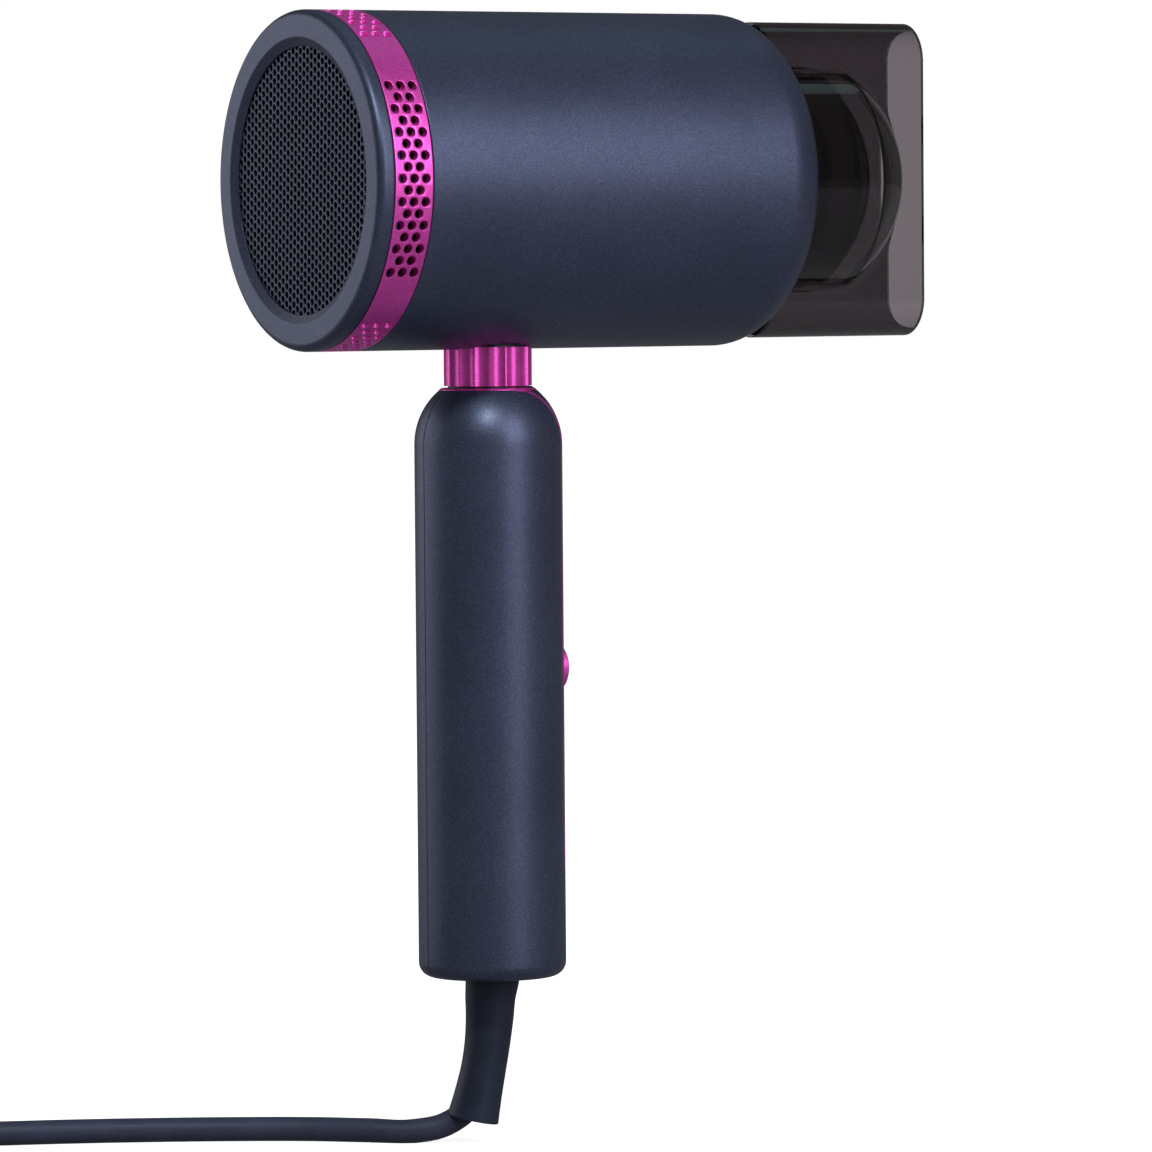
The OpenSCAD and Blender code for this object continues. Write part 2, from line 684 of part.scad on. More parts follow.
module plug_body() color(charcoal) at_plug() {
    hull() {
        translate([plug_boot + plug_len - 1, 0, 0]) rotate([0, 90, 0]) plug_face(plug_w, plug_h, 1);
        translate([plug_boot + plug_len - 14, 0, 0]) rotate([0, 90, 0]) plug_face(plug_w, plug_h, 1);
        translate([plug_boot, 0, 0]) rotate([0, 90, 0]) plug_face(17, 13, 1);
    }
    rotate([0, 90, 0]) cylinder(r1 = cord_r + 1, r2 = cord_r + 2, h = plug_boot);
}

// An upright slice of the plug with round ends
module plug_face(w, h, t) {
    hull() for (end = [-1, 1]) translate([0, end * (w - h) / 2, 0]) cylinder(d = h, h = t, $fn = 32);
}

module plug_pins() color(steel) at_plug() for (end = [-1, 1])
    translate([plug_boot + plug_len, end * pin_gap / 2, 0]) rotate([0, 90, 0]) cylinder(r = pin_r, h = pin_len);

barrel_shell();
vent_ring();
rear_bezel();
intake_mesh();
mesh_retainer();
fan_duct();
fan_impeller();
motor_shaft();
rotor_core();
motor_can();
motor_magnets();
motor_end_cap();
bearing_rear();
bearing_front();
motor_mount();
heater_boards();
heating_coil();
heat_sleeve();
thermostat();
thermal_fuse();
outlet_grille();
grille_screws();
swivel_ring();
nozzle();
nozzle_funnel();
neck_collar();
neck_tube();
handle_shell_left();
handle_shell_right();
front_panel();
trim_band();
handle_chassis();
handle_screws();
circuit_board();
board_parts();
switch_body();
switch_plunger();
power_button();
cord_clamp();
wiring();
strain_relief();
power_cord();
cord_coil();
cord_tail();
cord_tie();
plug_body();
plug_pins();
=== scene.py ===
import math

import bmesh
import bpy
from mathutils import Matrix, Vector


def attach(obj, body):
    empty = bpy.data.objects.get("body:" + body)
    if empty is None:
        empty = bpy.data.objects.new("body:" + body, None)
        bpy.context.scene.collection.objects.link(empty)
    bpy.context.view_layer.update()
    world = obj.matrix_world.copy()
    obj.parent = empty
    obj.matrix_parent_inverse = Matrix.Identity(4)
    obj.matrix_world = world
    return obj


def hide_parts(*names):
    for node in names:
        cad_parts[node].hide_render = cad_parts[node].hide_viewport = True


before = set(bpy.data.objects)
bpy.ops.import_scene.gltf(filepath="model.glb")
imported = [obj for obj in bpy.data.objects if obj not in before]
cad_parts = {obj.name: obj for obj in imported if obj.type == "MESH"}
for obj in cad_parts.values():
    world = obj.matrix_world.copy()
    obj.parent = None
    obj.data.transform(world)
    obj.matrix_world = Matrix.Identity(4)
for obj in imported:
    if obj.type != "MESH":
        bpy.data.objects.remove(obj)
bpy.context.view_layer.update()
scene = bpy.context.scene
print("frame loaded:", len(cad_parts), "nodes")

mm = 0.001
axisZ = 0.1193  # height of the barrel's axis above the grip

camera = {
    "eye": (-0.82669, -1.44215, 0.10262),
    "forward": (0.50749, 0.86040, -0.04652),
    "roll": -0.444,
    "lens": 218.6,
}


def addCamera():
    data = bpy.data.cameras.new("camera")
    data.lens = camera["lens"]
    data.sensor_width = 36
    data.clip_start = 0.05
    data.clip_end = 60
    cam = bpy.data.objects.new("camera", data)
    scene.collection.objects.link(cam)
    ahead = Vector(camera["forward"]).normalized()
    level = ahead.cross(Vector((0, 0, 1))).normalized()
    upright = level.cross(ahead)
    turn = math.radians(camera["roll"])
    right = level * math.cos(turn) + upright * math.sin(turn)
    up = upright * math.cos(turn) - level * math.sin(turn)
    cam.matrix_world = Matrix.Translation(camera["eye"]) @ Matrix((right, up, -ahead)).transposed().to_4x4()
    scene.camera = cam


addCamera()
print("camera placed")


def ringOf(bm, points, closed=False):
    verts = [bm.verts.new(p) for p in points]
    pairs = list(zip(verts, verts[1:])) + ([(verts[-1], verts[0])] if closed else [])
    return verts, [bm.edges.new(p) for p in pairs]


def roundCorners(bm, verts, radii, segments):
    # each corner of a wire is rounded by its own radius
    for vert, radius in zip(verts, radii):
        if radius <= 0:
            continue
        a, b = [e.other_vert(vert).co - vert.co for e in vert.link_edges]
        reach = radius * mm / math.tan(a.angle(b) / 2)
        bmesh.ops.bevel(bm, geom=[vert], offset=reach, offset_type="OFFSET", segments=segments(radius),
                        profile=0.5, affect="VERTICES", material=-1)


def cornerSteps(radius):
    return 3 if radius < 0.7 else 6 if radius < 3 else 20


def spinSection(corners, steps, axis="X", closed=True, centre=(0, 0, 0)):
    # corners are (along, radius, rounding) in millimetres; the section is spun about X or Z through centre
    bm = bmesh.new()
    place = (lambda a, r: (a * mm, 0, r * mm)) if axis == "X" else (lambda a, r: (r * mm, 0, a * mm))
    verts, _ = ringOf(bm, [place(a, r) for a, r, _ in corners], closed)
    roundCorners(bm, verts, [c[2] for c in corners], cornerSteps)
    bmesh.ops.spin(bm, geom=bm.verts[:] + bm.edges[:], cent=(0, 0, 0), axis=(1, 0, 0) if axis == "X" else (0, 0, 1),
                   angle=math.tau, steps=steps, use_merge=True, use_duplicate=False)
    bmesh.ops.remove_doubles(bm, verts=bm.verts[:], dist=2e-6)
    bmesh.ops.dissolve_degenerate(bm, edges=bm.edges[:], dist=1e-7)
    bmesh.ops.translate(bm, verts=bm.verts[:], vec=Vector(centre) * mm)
    bmesh.ops.recalc_face_normals(bm, faces=bm.faces[:])
    return bm


def joinInto(bm, part):
    # one bmesh is added to another and freed
    mesh = bpy.data.meshes.new("part")
    part.to_mesh(mesh)
    part.free()
    bm.from_mesh(mesh)
    bpy.data.meshes.remove(mesh)


def faceOutward(bm, axis, sign=1):
    # an open sheet's faces are turned so that they look along the axis
    bmesh.ops.recalc_face_normals(bm, faces=bm.faces[:])
    if sum(face.normal[axis] for face in bm.faces) * sign < 0:
        bmesh.ops.reverse_faces(bm, faces=bm.faces[:])


def madeOf(made, kind):
    # the vertices or edges in what an operator gave back
    return [g for g in made["geom"] if isinstance(g, kind)]


def makePiece(name, bm, body, material, nodes=(), sharp=32, wall=0, offset=-1.0, edge=0, edgeAngle=40,
              edgeSteps=2, weighted=True):
    # a finished mesh becomes a piece: smooth, hard where faces meet at more than the sharp angle,
    # with a wall's thickness and rounded edges if they are asked for
    limit = math.radians(sharp)
    for face in bm.faces:
        face.smooth = True
    for line in bm.edges:
        line.smooth = not (line.is_manifold and line.calc_face_angle(0) > limit)
    mesh = bpy.data.meshes.new(name)
    bm.to_mesh(mesh)
    bm.free()
    piece = bpy.data.objects.new(name, mesh)
    scene.collection.objects.link(piece)
    mesh.materials.append(material)
    if wall:
        solid = piece.modifiers.new("wall", "SOLIDIFY")
        solid.thickness = wall * mm
        solid.offset = offset
        solid.use_even_offset = True
    if edge:
        bevel = piece.modifiers.new("edges", "BEVEL")
        bevel.width = edge * mm
        bevel.segments = edgeSteps
        bevel.limit_method = "ANGLE"
        bevel.angle_limit = math.radians(edgeAngle)
        bevel.use_clamp_overlap = True
    if weighted:
        normals = piece.modifiers.new("shading", "WEIGHTED_NORMAL")
        normals.keep_sharp = True
        normals.weight = 60
    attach(piece, body)
    if nodes:
        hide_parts(*nodes)
    return piece


def sweep(path, radii, sides, bm=None, across=Vector((0.508, 0.861, 0))):
    # a ring pushed along a path of points; gives back the mesh with open ends
    bm = bm or bmesh.new()
    rings = []
    for i, (point, radius) in enumerate(zip(path, radii)):
        ahead = (Vector(path[min(i + 1, len(path) - 1)]) - Vector(path[max(i - 1, 0)])).normalized()
        side = ahead.cross(across).normalized()
        up = side.cross(ahead)
        turn = Matrix((side, up, ahead)).transposed().to_4x4()
        turn.translation = Vector(point)
        made = bmesh.ops.create_circle(bm, cap_ends=False, segments=sides, radius=radius, matrix=turn)
        edges = list({e for v in made["verts"] for e in v.link_edges})
        if rings:
            bmesh.ops.bridge_loops(bm, edges=rings[-1] + edges)
        rings.append(edges)
    return bm, rings


def smoothPath(points, per):
    # points on a smooth curve through the given ones, per steps between each two
    pts = [Vector(p) for p in points]
    out = []
    for i in range(len(pts) - 1):
        a, b, c, d = pts[max(i - 1, 0)], pts[i], pts[i + 1], pts[min(i + 2, len(pts) - 1)]
        for k in range(per):
            t = k / per
            out.append(0.5 * (2 * b + (c - a) * t + (2 * a - 5 * b + 4 * c - d) * t ** 2
                              + (3 * b - a - 3 * c + d) * t ** 3))
    return out + [pts[-1]]


class Nodes:
    # a material's node tree with short calls for adding and linking
    def __init__(self, name):
        self.material = bpy.data.materials.new(name)
        self.material.use_nodes = True
        self.tree = self.material.node_tree
        self.shader = self.tree.nodes["Principled BSDF"]
        self.coords = self.tree.nodes.new("ShaderNodeTexCoord").outputs["Object"]

    def add(self, kind, inputs=(), **values):
        node = self.tree.nodes.new(kind)
        for key, value in values.items():
            setattr(node, key, value)
        for key, value in dict(inputs).items():
            if isinstance(value, bpy.types.NodeSocket):
                self.tree.links.new(value, node.inputs[key])
            else:
                node.inputs[key].default_value = value
        return node

    def noise(self, scale, detail=2.0, rough=0.5, vector=None):
        return self.add("ShaderNodeTexNoise", {"Vector": vector or self.coords, "Scale": scale, "Detail": detail,
                                               "Roughness": rough}).outputs["Fac"]

    def cells(self, scale, vector=None):
        return self.add("ShaderNodeTexVoronoi", {"Vector": vector or self.coords, "Scale": scale}).outputs["Color"]

    def stretch(self, value, low, high, outLow, outHigh):
        return self.add("ShaderNodeMapRange", {"Value": value, "From Min": low, "From Max": high,
                                               "To Min": outLow, "To Max": outHigh}).outputs["Result"]

    def ramp(self, value, stops):
        node = self.add("ShaderNodeValToRGB", {"Fac": value})
        while len(node.color_ramp.elements) < len(stops):
            node.color_ramp.elements.new(0.5)
        for element, (at, colour) in zip(node.color_ramp.elements, stops):
            element.position = at
            element.color = (*colour, 1)
        return node.outputs["Color"]

    def gray(self, colour):
        return self.add("ShaderNodeSeparateColor", {"Color": colour}).outputs["Red"]

    def times(self, a, b):
        return self.add("ShaderNodeMath", {0: a, 1: b}, operation="MULTIPLY").outputs[0]

    def plus(self, a, b):
        return self.add("ShaderNodeMath", {0: a, 1: b}, operation="ADD").outputs[0]

    def bump(self, height, strength, distance):
        return self.add("ShaderNodeBump", {"Height": height, "Strength": strength,
                                           "Distance": distance}).outputs["Normal"]

    def finish(self, **sockets):
        for key, value in sockets.items():
            socket = self.shader.inputs[key.replace("_", " ")]
            if isinstance(value, bpy.types.NodeSocket):
                self.tree.links.new(value, socket)
            else:
                socket.default_value = value
        return self.material


def softTouchPaint():
    # blue-grey metallic paint under a soft matt coat: fine flakes and a very fine grain
    n = Nodes("soft_touch_navy")
    flakes = n.gray(n.cells(5200))
    clouds = n.noise(38, 3, 0.55)
    shade = n.plus(n.times(flakes, 0.36), n.times(clouds, 0.26))
    colour = n.ramp(n.plus(shade, 0.2), [(0.25, (0.047, 0.057, 0.103)), (0.55, (0.074, 0.086, 0.150)),
                                         (0.85, (0.140, 0.155, 0.262))])
    rough = n.stretch(n.plus(n.times(n.noise(2600, 2), 0.7), n.times(clouds, 0.3)), 0.25, 0.75, 0.39, 0.47)
    grain = n.bump(n.noise(4200, 3, 0.6), 0.14, 0.00006)
    return n.finish(Base_Color=colour, Metallic=0.70, Roughness=rough, Normal=grain, Specular_IOR_Level=0.35,
                    Coat_Weight=0.12, Coat_Roughness=0.36)


def magentaMetal():
    # satin magenta lacquer over metal, with a fine sparkle
    n = Nodes("magenta_lacquer")
    flakes = n.gray(n.cells(4200))
    drift = n.noise(60, 2)
    colour = n.ramp(n.plus(n.times(flakes, 0.45), n.times(drift, 0.4)),
                    [(0.15, (0.82, 0.062, 0.48)), (0.5, (1.0, 0.108, 0.64)), (0.85, (1.0, 0.17, 0.76))])
    rough = n.stretch(n.noise(1500, 2), 0.3, 0.7, 0.37, 0.46)
    grain = n.bump(n.noise(3600, 2), 0.08, 0.00005)
    return n.finish(Base_Color=colour, Metallic=0.76, Roughness=rough, Normal=grain, Coat_Weight=0.25,
                    Coat_Roughness=0.22)


def smokePlastic():
    # clear smoke-grey plastic, tinted through its thickness, with the faint flow waves of a moulding
    n = Nodes("smoke_clear")
    waves = n.noise(26, 1.5, 0.4)
    colour = n.ramp(waves, [(0.3, (0.93, 0.915, 0.93)), (0.7, (0.99, 0.975, 0.985))])
    grain = n.bump(waves, 0.12, 0.0006)
    rough = n.stretch(n.noise(300, 2), 0.3, 0.7, 0.012, 0.028)
    tint = n.add("ShaderNodeVolumeAbsorption", {"Color": (0.06, 0.0, 0.032, 1), "Density": 960.0})
    n.tree.links.new(tint.outputs["Volume"], n.tree.nodes["Material Output"].inputs["Volume"])
    return n.finish(Base_Color=colour, Transmission_Weight=1.0, IOR=1.5, Roughness=rough, Normal=grain)


def blackCoat():
    # the intake mesh: dark grey-blue satin coating on steel
    n = Nodes("mesh_coating")
    specks = n.noise(2400, 3)
    colour = n.ramp(specks, [(0.3, (0.034, 0.040, 0.068)), (0.7, (0.070, 0.080, 0.130))])
    rough = n.stretch(specks, 0.3, 0.7, 0.34, 0.46)
    return n.finish(Base_Color=colour, Metallic=0.85, Roughness=rough, Normal=n.bump(specks, 0.15, 0.00005))


def dustGauze():
    # fine black woven gauze, nearly opaque
    n = Nodes("dust_gauze")
    weave = n.add("ShaderNodeTexChecker", {"Vector": n.coords, "Scale": 2600.0}).outputs["Fac"]
    fuzz = n.noise(1700, 3)
    colour = n.ramp(n.plus(n.times(weave, 0.4), n.times(fuzz, 0.5)),
                    [(0.2, (0.002, 0.002, 0.003)), (0.8, (0.007, 0.007, 0.010))])
    return n.finish(Base_Color=colour, Roughness=0.95, Specular_IOR_Level=0.1, Normal=n.bump(weave, 0.4, 0.0001))


def mouldedPlastic(name, dark, light, low=0.42, high=0.56):
    # moulded plastic with the fine even grain of an etched mould
    n = Nodes(name)
    grain = n.noise(1400, 3, 0.6)
    drift = n.noise(45, 2)
    colour = n.ramp(n.plus(n.times(grain, 0.4), n.times(drift, 0.6)), [(0.3, dark), (0.7, light)])
    rough = n.stretch(n.noise(220, 2), 0.3, 0.7, low, high)
    return n.finish(Base_Color=colour, Roughness=rough, Normal=n.bump(grain, 0.22, 0.00008))


def turnedMetal(name, dark, light, low=0.2, high=0.34):
    # fine lines left by turning, a tenth of a millimetre apart along the axis
    n = Nodes(name)
    stretched = n.add("ShaderNodeMapping", {"Vector": n.coords, "Scale": (5200.0, 60.0, 60.0)}).outputs["Vector"]
    lines = n.noise(1.0, 2, 0.6, stretched)
    colour = n.ramp(lines, [(0.3, dark), (0.7, light)])
    rough = n.stretch(lines, 0.3, 0.7, low, high)
    return n.finish(Base_Color=colour, Metallic=1.0, Roughness=rough, Normal=n.bump(lines, 0.15, 0.00004))


def micaBoard():
    # pressed mica: overlapping golden-brown flakes
    n = Nodes("mica_board")
    flakes = n.gray(n.cells(420))
    grain = n.noise(900, 4, 0.7)
    colour = n.ramp(n.plus(n.times(flakes, 0.55), n.times(grain, 0.45)),
                    [(0.2, (0.20, 0.15, 0.085)), (0.55, (0.36, 0.29, 0.18)), (0.85, (0.56, 0.48, 0.33))])
    rough = n.stretch(flakes, 0, 1, 0.35, 0.6)
    return n.finish(Base_Color=colour, Roughness=rough, Normal=n.bump(flakes, 0.3, 0.0001), Coat_Weight=0.15)


def heatedWire():
    # resistance wire, dulled and stained by heat
    n = Nodes("resistance_wire")
    stains = n.noise(140, 3)
    colour = n.ramp(stains, [(0.3, (0.10, 0.085, 0.075)), (0.5, (0.24, 0.20, 0.17)), (0.75, (0.42, 0.36, 0.30))])
    rough = n.stretch(n.noise(900, 2), 0.3, 0.7, 0.3, 0.5)
    return n.finish(Base_Color=colour, Metallic=0.95, Roughness=rough, Normal=n.bump(stains, 0.2, 0.0001))


def solderMask():
    # green lacquer over a glass weave
    n = Nodes("board_green")
    weave = n.add("ShaderNodeTexChecker", {"Vector": n.coords, "Scale": 900.0}).outputs["Fac"]
    soft = n.plus(n.times(weave, 0.12), n.times(n.noise(180, 3), 0.6))
    colour = n.ramp(soft, [(0.2, (0.006, 0.060, 0.022)), (0.6, (0.012, 0.120, 0.042))])
    rough = n.stretch(n.noise(700, 2), 0.3, 0.7, 0.22, 0.34)
    return n.finish(Base_Color=colour, Roughness=rough, Normal=n.bump(soft, 0.1, 0.00006), Coat_Weight=0.3,
                    Coat_Roughness=0.15)


def rubberSheath(name, dark, light):
    # matt cord rubber with a faint bloom and very fine pits
    n = Nodes(name)
    pits = n.noise(2600, 3, 0.65)
    bloom = n.noise(70, 3)
    colour = n.ramp(n.plus(n.times(pits, 0.35), n.times(bloom, 0.65)), [(0.3, dark), (0.72, light)])
    rough = n.stretch(bloom, 0.3, 0.7, 0.46, 0.60)
    return n.finish(Base_Color=colour, Roughness=rough, Normal=n.bump(pits, 0.25, 0.00008),
                    Specular_IOR_Level=0.42, Specular_Tint=(0.72, 0.80, 1.0, 1.0))


def strapFabric():
    # woven hook-and-loop strap: the weave follows the piece's own coordinates
    n = Nodes("strap_fabric")
    threads = {"Vector": n.coords, "Scale": 900.0, "Distortion": 1.5, "Detail": 2.0}
    warp, weft = [n.add("ShaderNodeTexWave", threads, bands_direction=way).outputs["Fac"]
                  for way in ("Z", "DIAGONAL")]
    weave = n.times(warp, weft)
    colour = n.ramp(weave, [(0.0, (0.006, 0.006, 0.008)), (1.0, (0.030, 0.031, 0.037))])
    return n.finish(Base_Color=colour, Roughness=n.stretch(weave, 0, 1, 0.9, 0.75), Sheen_Weight=0.35,
                    Sheen_Roughness=0.5, Normal=n.bump(weave, 0.6, 0.0003))


paint = softTouchPaint()
magenta = magentaMetal()
smoke = smokePlastic()
meshCoat = blackCoat()
gauze = dustGauze()
black = mouldedPlastic("black_plastic", (0.012, 0.013, 0.016), (0.026, 0.028, 0.034))
nylon = mouldedPlastic("natural_nylon", (0.58, 0.56, 0.50), (0.74, 0.72, 0.66), 0.38, 0.5)
steel = turnedMetal("turned_steel", (0.46, 0.47, 0.49), (0.66, 0.67, 0.69))
mica = micaBoard()
wire = heatedWire()
boardGreen = solderMask()
leadRed = mouldedPlastic("lead_red", (0.30, 0.012, 0.012), (0.46, 0.03, 0.026), 0.3, 0.42)
cordRubber = rubberSheath("cord_rubber", (0.027, 0.028, 0.054), (0.058, 0.060, 0.105))
reliefRubber = rubberSheath("relief_rubber", (0.010, 0.013, 0.027), (0.026, 0.031, 0.054))
plugRubber = rubberSheath("plug_rubber", (0.010, 0.011, 0.015), (0.024, 0.026, 0.034))
strap = strapFabric()
nickel = turnedMetal("nickel_pin", (0.62, 0.59, 0.53), (0.78, 0.75, 0.68), 0.16, 0.26)
print("materials made")

cord = {
    "diameter": 5.8,
    "length": 1.657,  # metres, from the handle's foot to the plug
    "floor": -110.0,
    "route": [(0, 0, -70), (-0.3, 0.15, -75), (-0.7, 0.4, -80), (-1.4, 0.8, -90), (-3.3, 1.9, -98.5),
              (-8.6, 5.1, -104.8), (-16, 9.5), (-25, 17), (-34.5, 26), (-50, 36.5), (-68, 46.5), (-86, 55),
              (-105, 62.5), (-123, 70.5)],
    "coilAt": (-162, 42.5),
    "coilMid": 34.0,
    "wide": 4,
    "high": 2,
    "enterAngle": 59.5,
    "riser": 0.70,  # turns that the rise takes
    "perTurn": 16,
    "tail": [(-125.7, 21.4, -100.3), (-123.6, 32.1, -97.5), (-125.7, 42.8, -94), (-131.8, 52, -90.5),
             (-140.9, 58, -87.5), (-152, 60, -86.4)],
}


def cordPoints():
    low = cord["floor"] + cord["diameter"] / 2
    d = cord["diameter"]
    points = [p if len(p) == 3 else (*p, low) for p in cord["route"]]
    outer = cord["coilMid"] + d * (cord["wide"] - 1) / 2
    inner = outer - d * (cord["wide"] - 1)
    inTurns = cord["wide"] - 1
    riser = cord["riser"]
    total = 2 * inTurns + riser
    steps = round(total * cord["perTurn"])
    for k in range(steps + 1):
        turns = total * k / steps
        if turns <= inTurns:  # the lower layer, wound inwards
            radius, lift = outer - d * turns, 0.0
        elif turns <= inTurns + riser:  # up on to the upper layer
            share = (turns - inTurns) / riser
            radius, lift = inner, d * (3 * share ** 2 - 2 * share ** 3)
        else:
            radius, lift = inner + d * (turns - inTurns - riser), d
        angle = math.radians(cord["enterAngle"]) + math.tau * turns
        points.append((cord["coilAt"][0] + radius * math.cos(angle), cord["coilAt"][1] + radius * math.sin(angle),
                       low + lift))
    return [Vector(p) * mm for p in points + cord["tail"]]


def addCord():
    points = cordPoints()
    curve = bpy.data.curves.new("power_cord_line", "CURVE")
    curve.dimensions = "3D"
    spline = curve.splines.new("BEZIER")
    spline.bezier_points.add(len(points) - 1)
    for knot, point in zip(spline.bezier_points, points):
        knot.co = point
        knot.handle_left_type = knot.handle_right_type = "AUTO"
    spline.resolution_u = 6
    curve.bevel_depth = cord["diameter"] / 2 * mm
    curve.bevel_resolution = 5
    curve.use_fill_caps = True
    piece = bpy.data.objects.new("power_cord_line", curve)
    scene.collection.objects.link(piece)
    curve.materials.append(cordRubber)
    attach(piece, "dryer")
    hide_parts("power_cord", "cord_coil", "cord_tail")
    length = spline.calc_length()
    print("cord made:", round(length, 4), "m long")
    return piece


cordPiece = addCord()

nodeMaterials = {
    "mesh_retainer": black, "fan_impeller": black, "outlet_grille": black, "swivel_ring": black,
    "handle_chassis": black, "switch_body": black, "cord_clamp": black, "board_parts": black,
    "motor_magnets": black, "fan_duct": nylon, "motor_end_cap": nylon, "motor_mount": nylon, "thermal_fuse": nylon,
    "motor_shaft": steel, "rotor_core": steel, "motor_can": steel, "bearing_rear": steel, "bearing_front": steel,
    "thermostat": steel, "grille_screws": steel, "neck_tube": steel, "handle_screws": steel, "switch_plunger": steel,
    "heater_boards": mica, "heat_sleeve": mica, "heating_coil": wire, "circuit_board": boardGreen, "wiring": leadRed,
    "barrel_shell": paint, "rear_bezel": paint, "handle_shell_left": paint, "handle_shell_right": paint,
    "front_panel": paint, "vent_ring": magenta, "neck_collar": magenta, "trim_band": magenta, "power_button": magenta,
    "nozzle": smoke, "nozzle_funnel": smoke, "intake_mesh": meshCoat, "strain_relief": reliefRubber,
    "cord_tie": strap, "plug_body": plugRubber, "plug_pins": nickel,
    "power_cord": cordRubber, "cord_coil": cordRubber, "cord_tail": cordRubber,
}
for nodeName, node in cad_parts.items():
    node.data.materials.clear()
    node.data.materials.append(nodeMaterials[nodeName])
print("packed pieces finished:", len(nodeMaterials))


barrel = {"radius": 40.0, "wall": 2.0, "back": -36.6, "front": 73.0, "nose": 11.2, "outlet": 28.5, "edge": 0.35}


def addBarrel():
    b = barrel
    inner = b["radius"] - b["wall"]
    bm = spinSection([(b["back"], b["radius"], b["edge"]), (b["front"], b["radius"], b["nose"]),
                      (b["front"], b["outlet"], 0.25), (b["front"] - b["wall"], b["outlet"], 0.2),
                      (b["front"] - b["wall"], inner, b["nose"] - b["wall"]), (b["back"], inner, 0.2)],
                     192, centre=(0, 0, axisZ / mm))
    return makePiece("barrel_skin", bm, "dryer", paint, ["barrel_shell"])


bezel = {"back": -50.9, "front": -46.9, "skirt": -43.9, "radius": 40.0, "skirtRadius": 37.8, "rim": 33.8,
         "window": 31.4, "meshPlane": -49.5, "edge": 2.0}


def addBezel():
    b = bezel
    bm = spinSection([(b["back"], b["rim"] - 0.2, 0.9), (b["back"], b["radius"], b["edge"]),
                      (b["front"], b["radius"], 0.35), (b["front"], b["skirtRadius"], 0),
                      (b["skirt"], b["skirtRadius"], 0.3), (b["skirt"], b["rim"], 0.2),
                      (b["meshPlane"], b["rim"], 0), (b["meshPlane"], b["window"] + 0.1, 0),
                      (b["meshPlane"] - 0.25, b["window"], 0.12)], 192, centre=(0, 0, axisZ / mm))
    return makePiece("rear_bezel_skin", bm, "rear_cover", paint, ["rear_bezel"])


intake = {"pitch": 2.08, "hole": 0.83, "reach": 32.6, "plane": -49.45, "thick": 0.42, "turn": 2.5, "chamfer": 0.13}


def meshCell():
    # one six-sided cell with a round hole, lying square to the barrel
    bm = bmesh.new()
    turned = Matrix.Rotation(math.radians(90), 4, "Y")
    corner = intake["pitch"] / math.sqrt(3) * mm
    outer = bmesh.ops.create_circle(bm, segments=6, radius=corner, matrix=turned)["verts"]
    bmesh.ops.subdivide_edges(bm, edges=list({e for v in outer for e in v.link_edges}), cuts=1)
    outerEdges = bm.edges[:]
    inner = bmesh.ops.create_circle(bm, segments=12, radius=intake["hole"] * mm, matrix=turned)["verts"]
    bmesh.ops.bridge_loops(bm, edges=outerEdges + list({e for v in inner for e in v.link_edges}))
    cell = bpy.data.meshes.new("cell")
    bm.to_mesh(cell)
    bm.free()
    return cell


def addIntakeMesh():
    cell = meshCell()
    bm = bmesh.new()
    pitch, reach = intake["pitch"], intake["reach"]
    turn = math.radians(intake["turn"])
    count = int(reach / pitch) + 3
    for i in range(-2 * count, 2 * count + 1):
        for j in range(-2 * count, 2 * count + 1):
            y, z = i * pitch * math.sqrt(3) / 2, (j + (i % 2) / 2) * pitch
            if math.hypot(y, z) > reach:
                continue
            known = len(bm.verts)
            bm.from_mesh(cell)
            bm.verts.ensure_lookup_table()
            bmesh.ops.translate(bm, verts=bm.verts[known:], vec=(0, y * mm, z * mm))
    bpy.data.meshes.remove(cell)
    bmesh.ops.remove_doubles(bm, verts=bm.verts[:], dist=3e-5)
    bmesh.ops.rotate(bm, verts=bm.verts[:], cent=(0, 0, 0), matrix=Matrix.Rotation(turn, 3, "X"))
    made = bmesh.ops.extrude_face_region(bm, geom=bm.faces[:])
    bmesh.ops.translate(bm, verts=madeOf(made, bmesh.types.BMVert), vec=(intake["thick"] * mm, 0, 0))
    bmesh.ops.recalc_face_normals(bm, faces=bm.faces[:])
    rims = [e for e in bm.edges if e.is_manifold and e.calc_face_angle(0) > 1.2 and abs(e.verts[0].co.x) < 1e-6
            and abs(e.verts[1].co.x) < 1e-6]
    bmesh.ops.bevel(bm, geom=rims, offset=intake["chamfer"] * mm, offset_type="OFFSET", segments=2, profile=0.5,
                    affect="EDGES", material=-1, clamp_overlap=True)
    bmesh.ops.translate(bm, verts=bm.verts[:], vec=(intake["plane"] * mm, 0, axisZ))
    return makePiece("intake_screen", bm, "rear_cover", meshCoat, ["intake_mesh"], weighted=False)


retainer = {"plane": -48.6, "thick": 0.35, "reach": 33.4, "ringIn": 30.9, "ringBack": -49.0, "ringFront": -45.6,
            "gauze": 31.2}


def addRetainer():
    # the snap ring behind the screen, with a fine black dust gauze stretched over it
    r = retainer
    bm = spinSection([(r["ringBack"], r["reach"], 0.2), (r["ringBack"], r["ringIn"], 0.4),
                      (r["ringFront"], r["ringIn"], 0.4), (r["ringFront"], r["reach"], 0.3)],
                     128, centre=(0, 0, axisZ / mm))
    sheet = spinSection([(r["plane"], 0, 0), (r["plane"], r["gauze"], 0), (r["plane"] + r["thick"], r["gauze"], 0),
                         (r["plane"] + r["thick"], 0, 0)], 96, closed=False, centre=(0, 0, axisZ / mm))
    joinInto(bm, sheet)
    return makePiece("screen_retainer", bm, "rear_cover", gauze, ["mesh_retainer"])


vents = {"back": -46.7, "width": 9.9, "radius": 40.0, "wall": 2.0, "pitch": 3.1, "hole": 2.2, "rows": 17,
         "gapSteps": 12, "rim": 0.16}


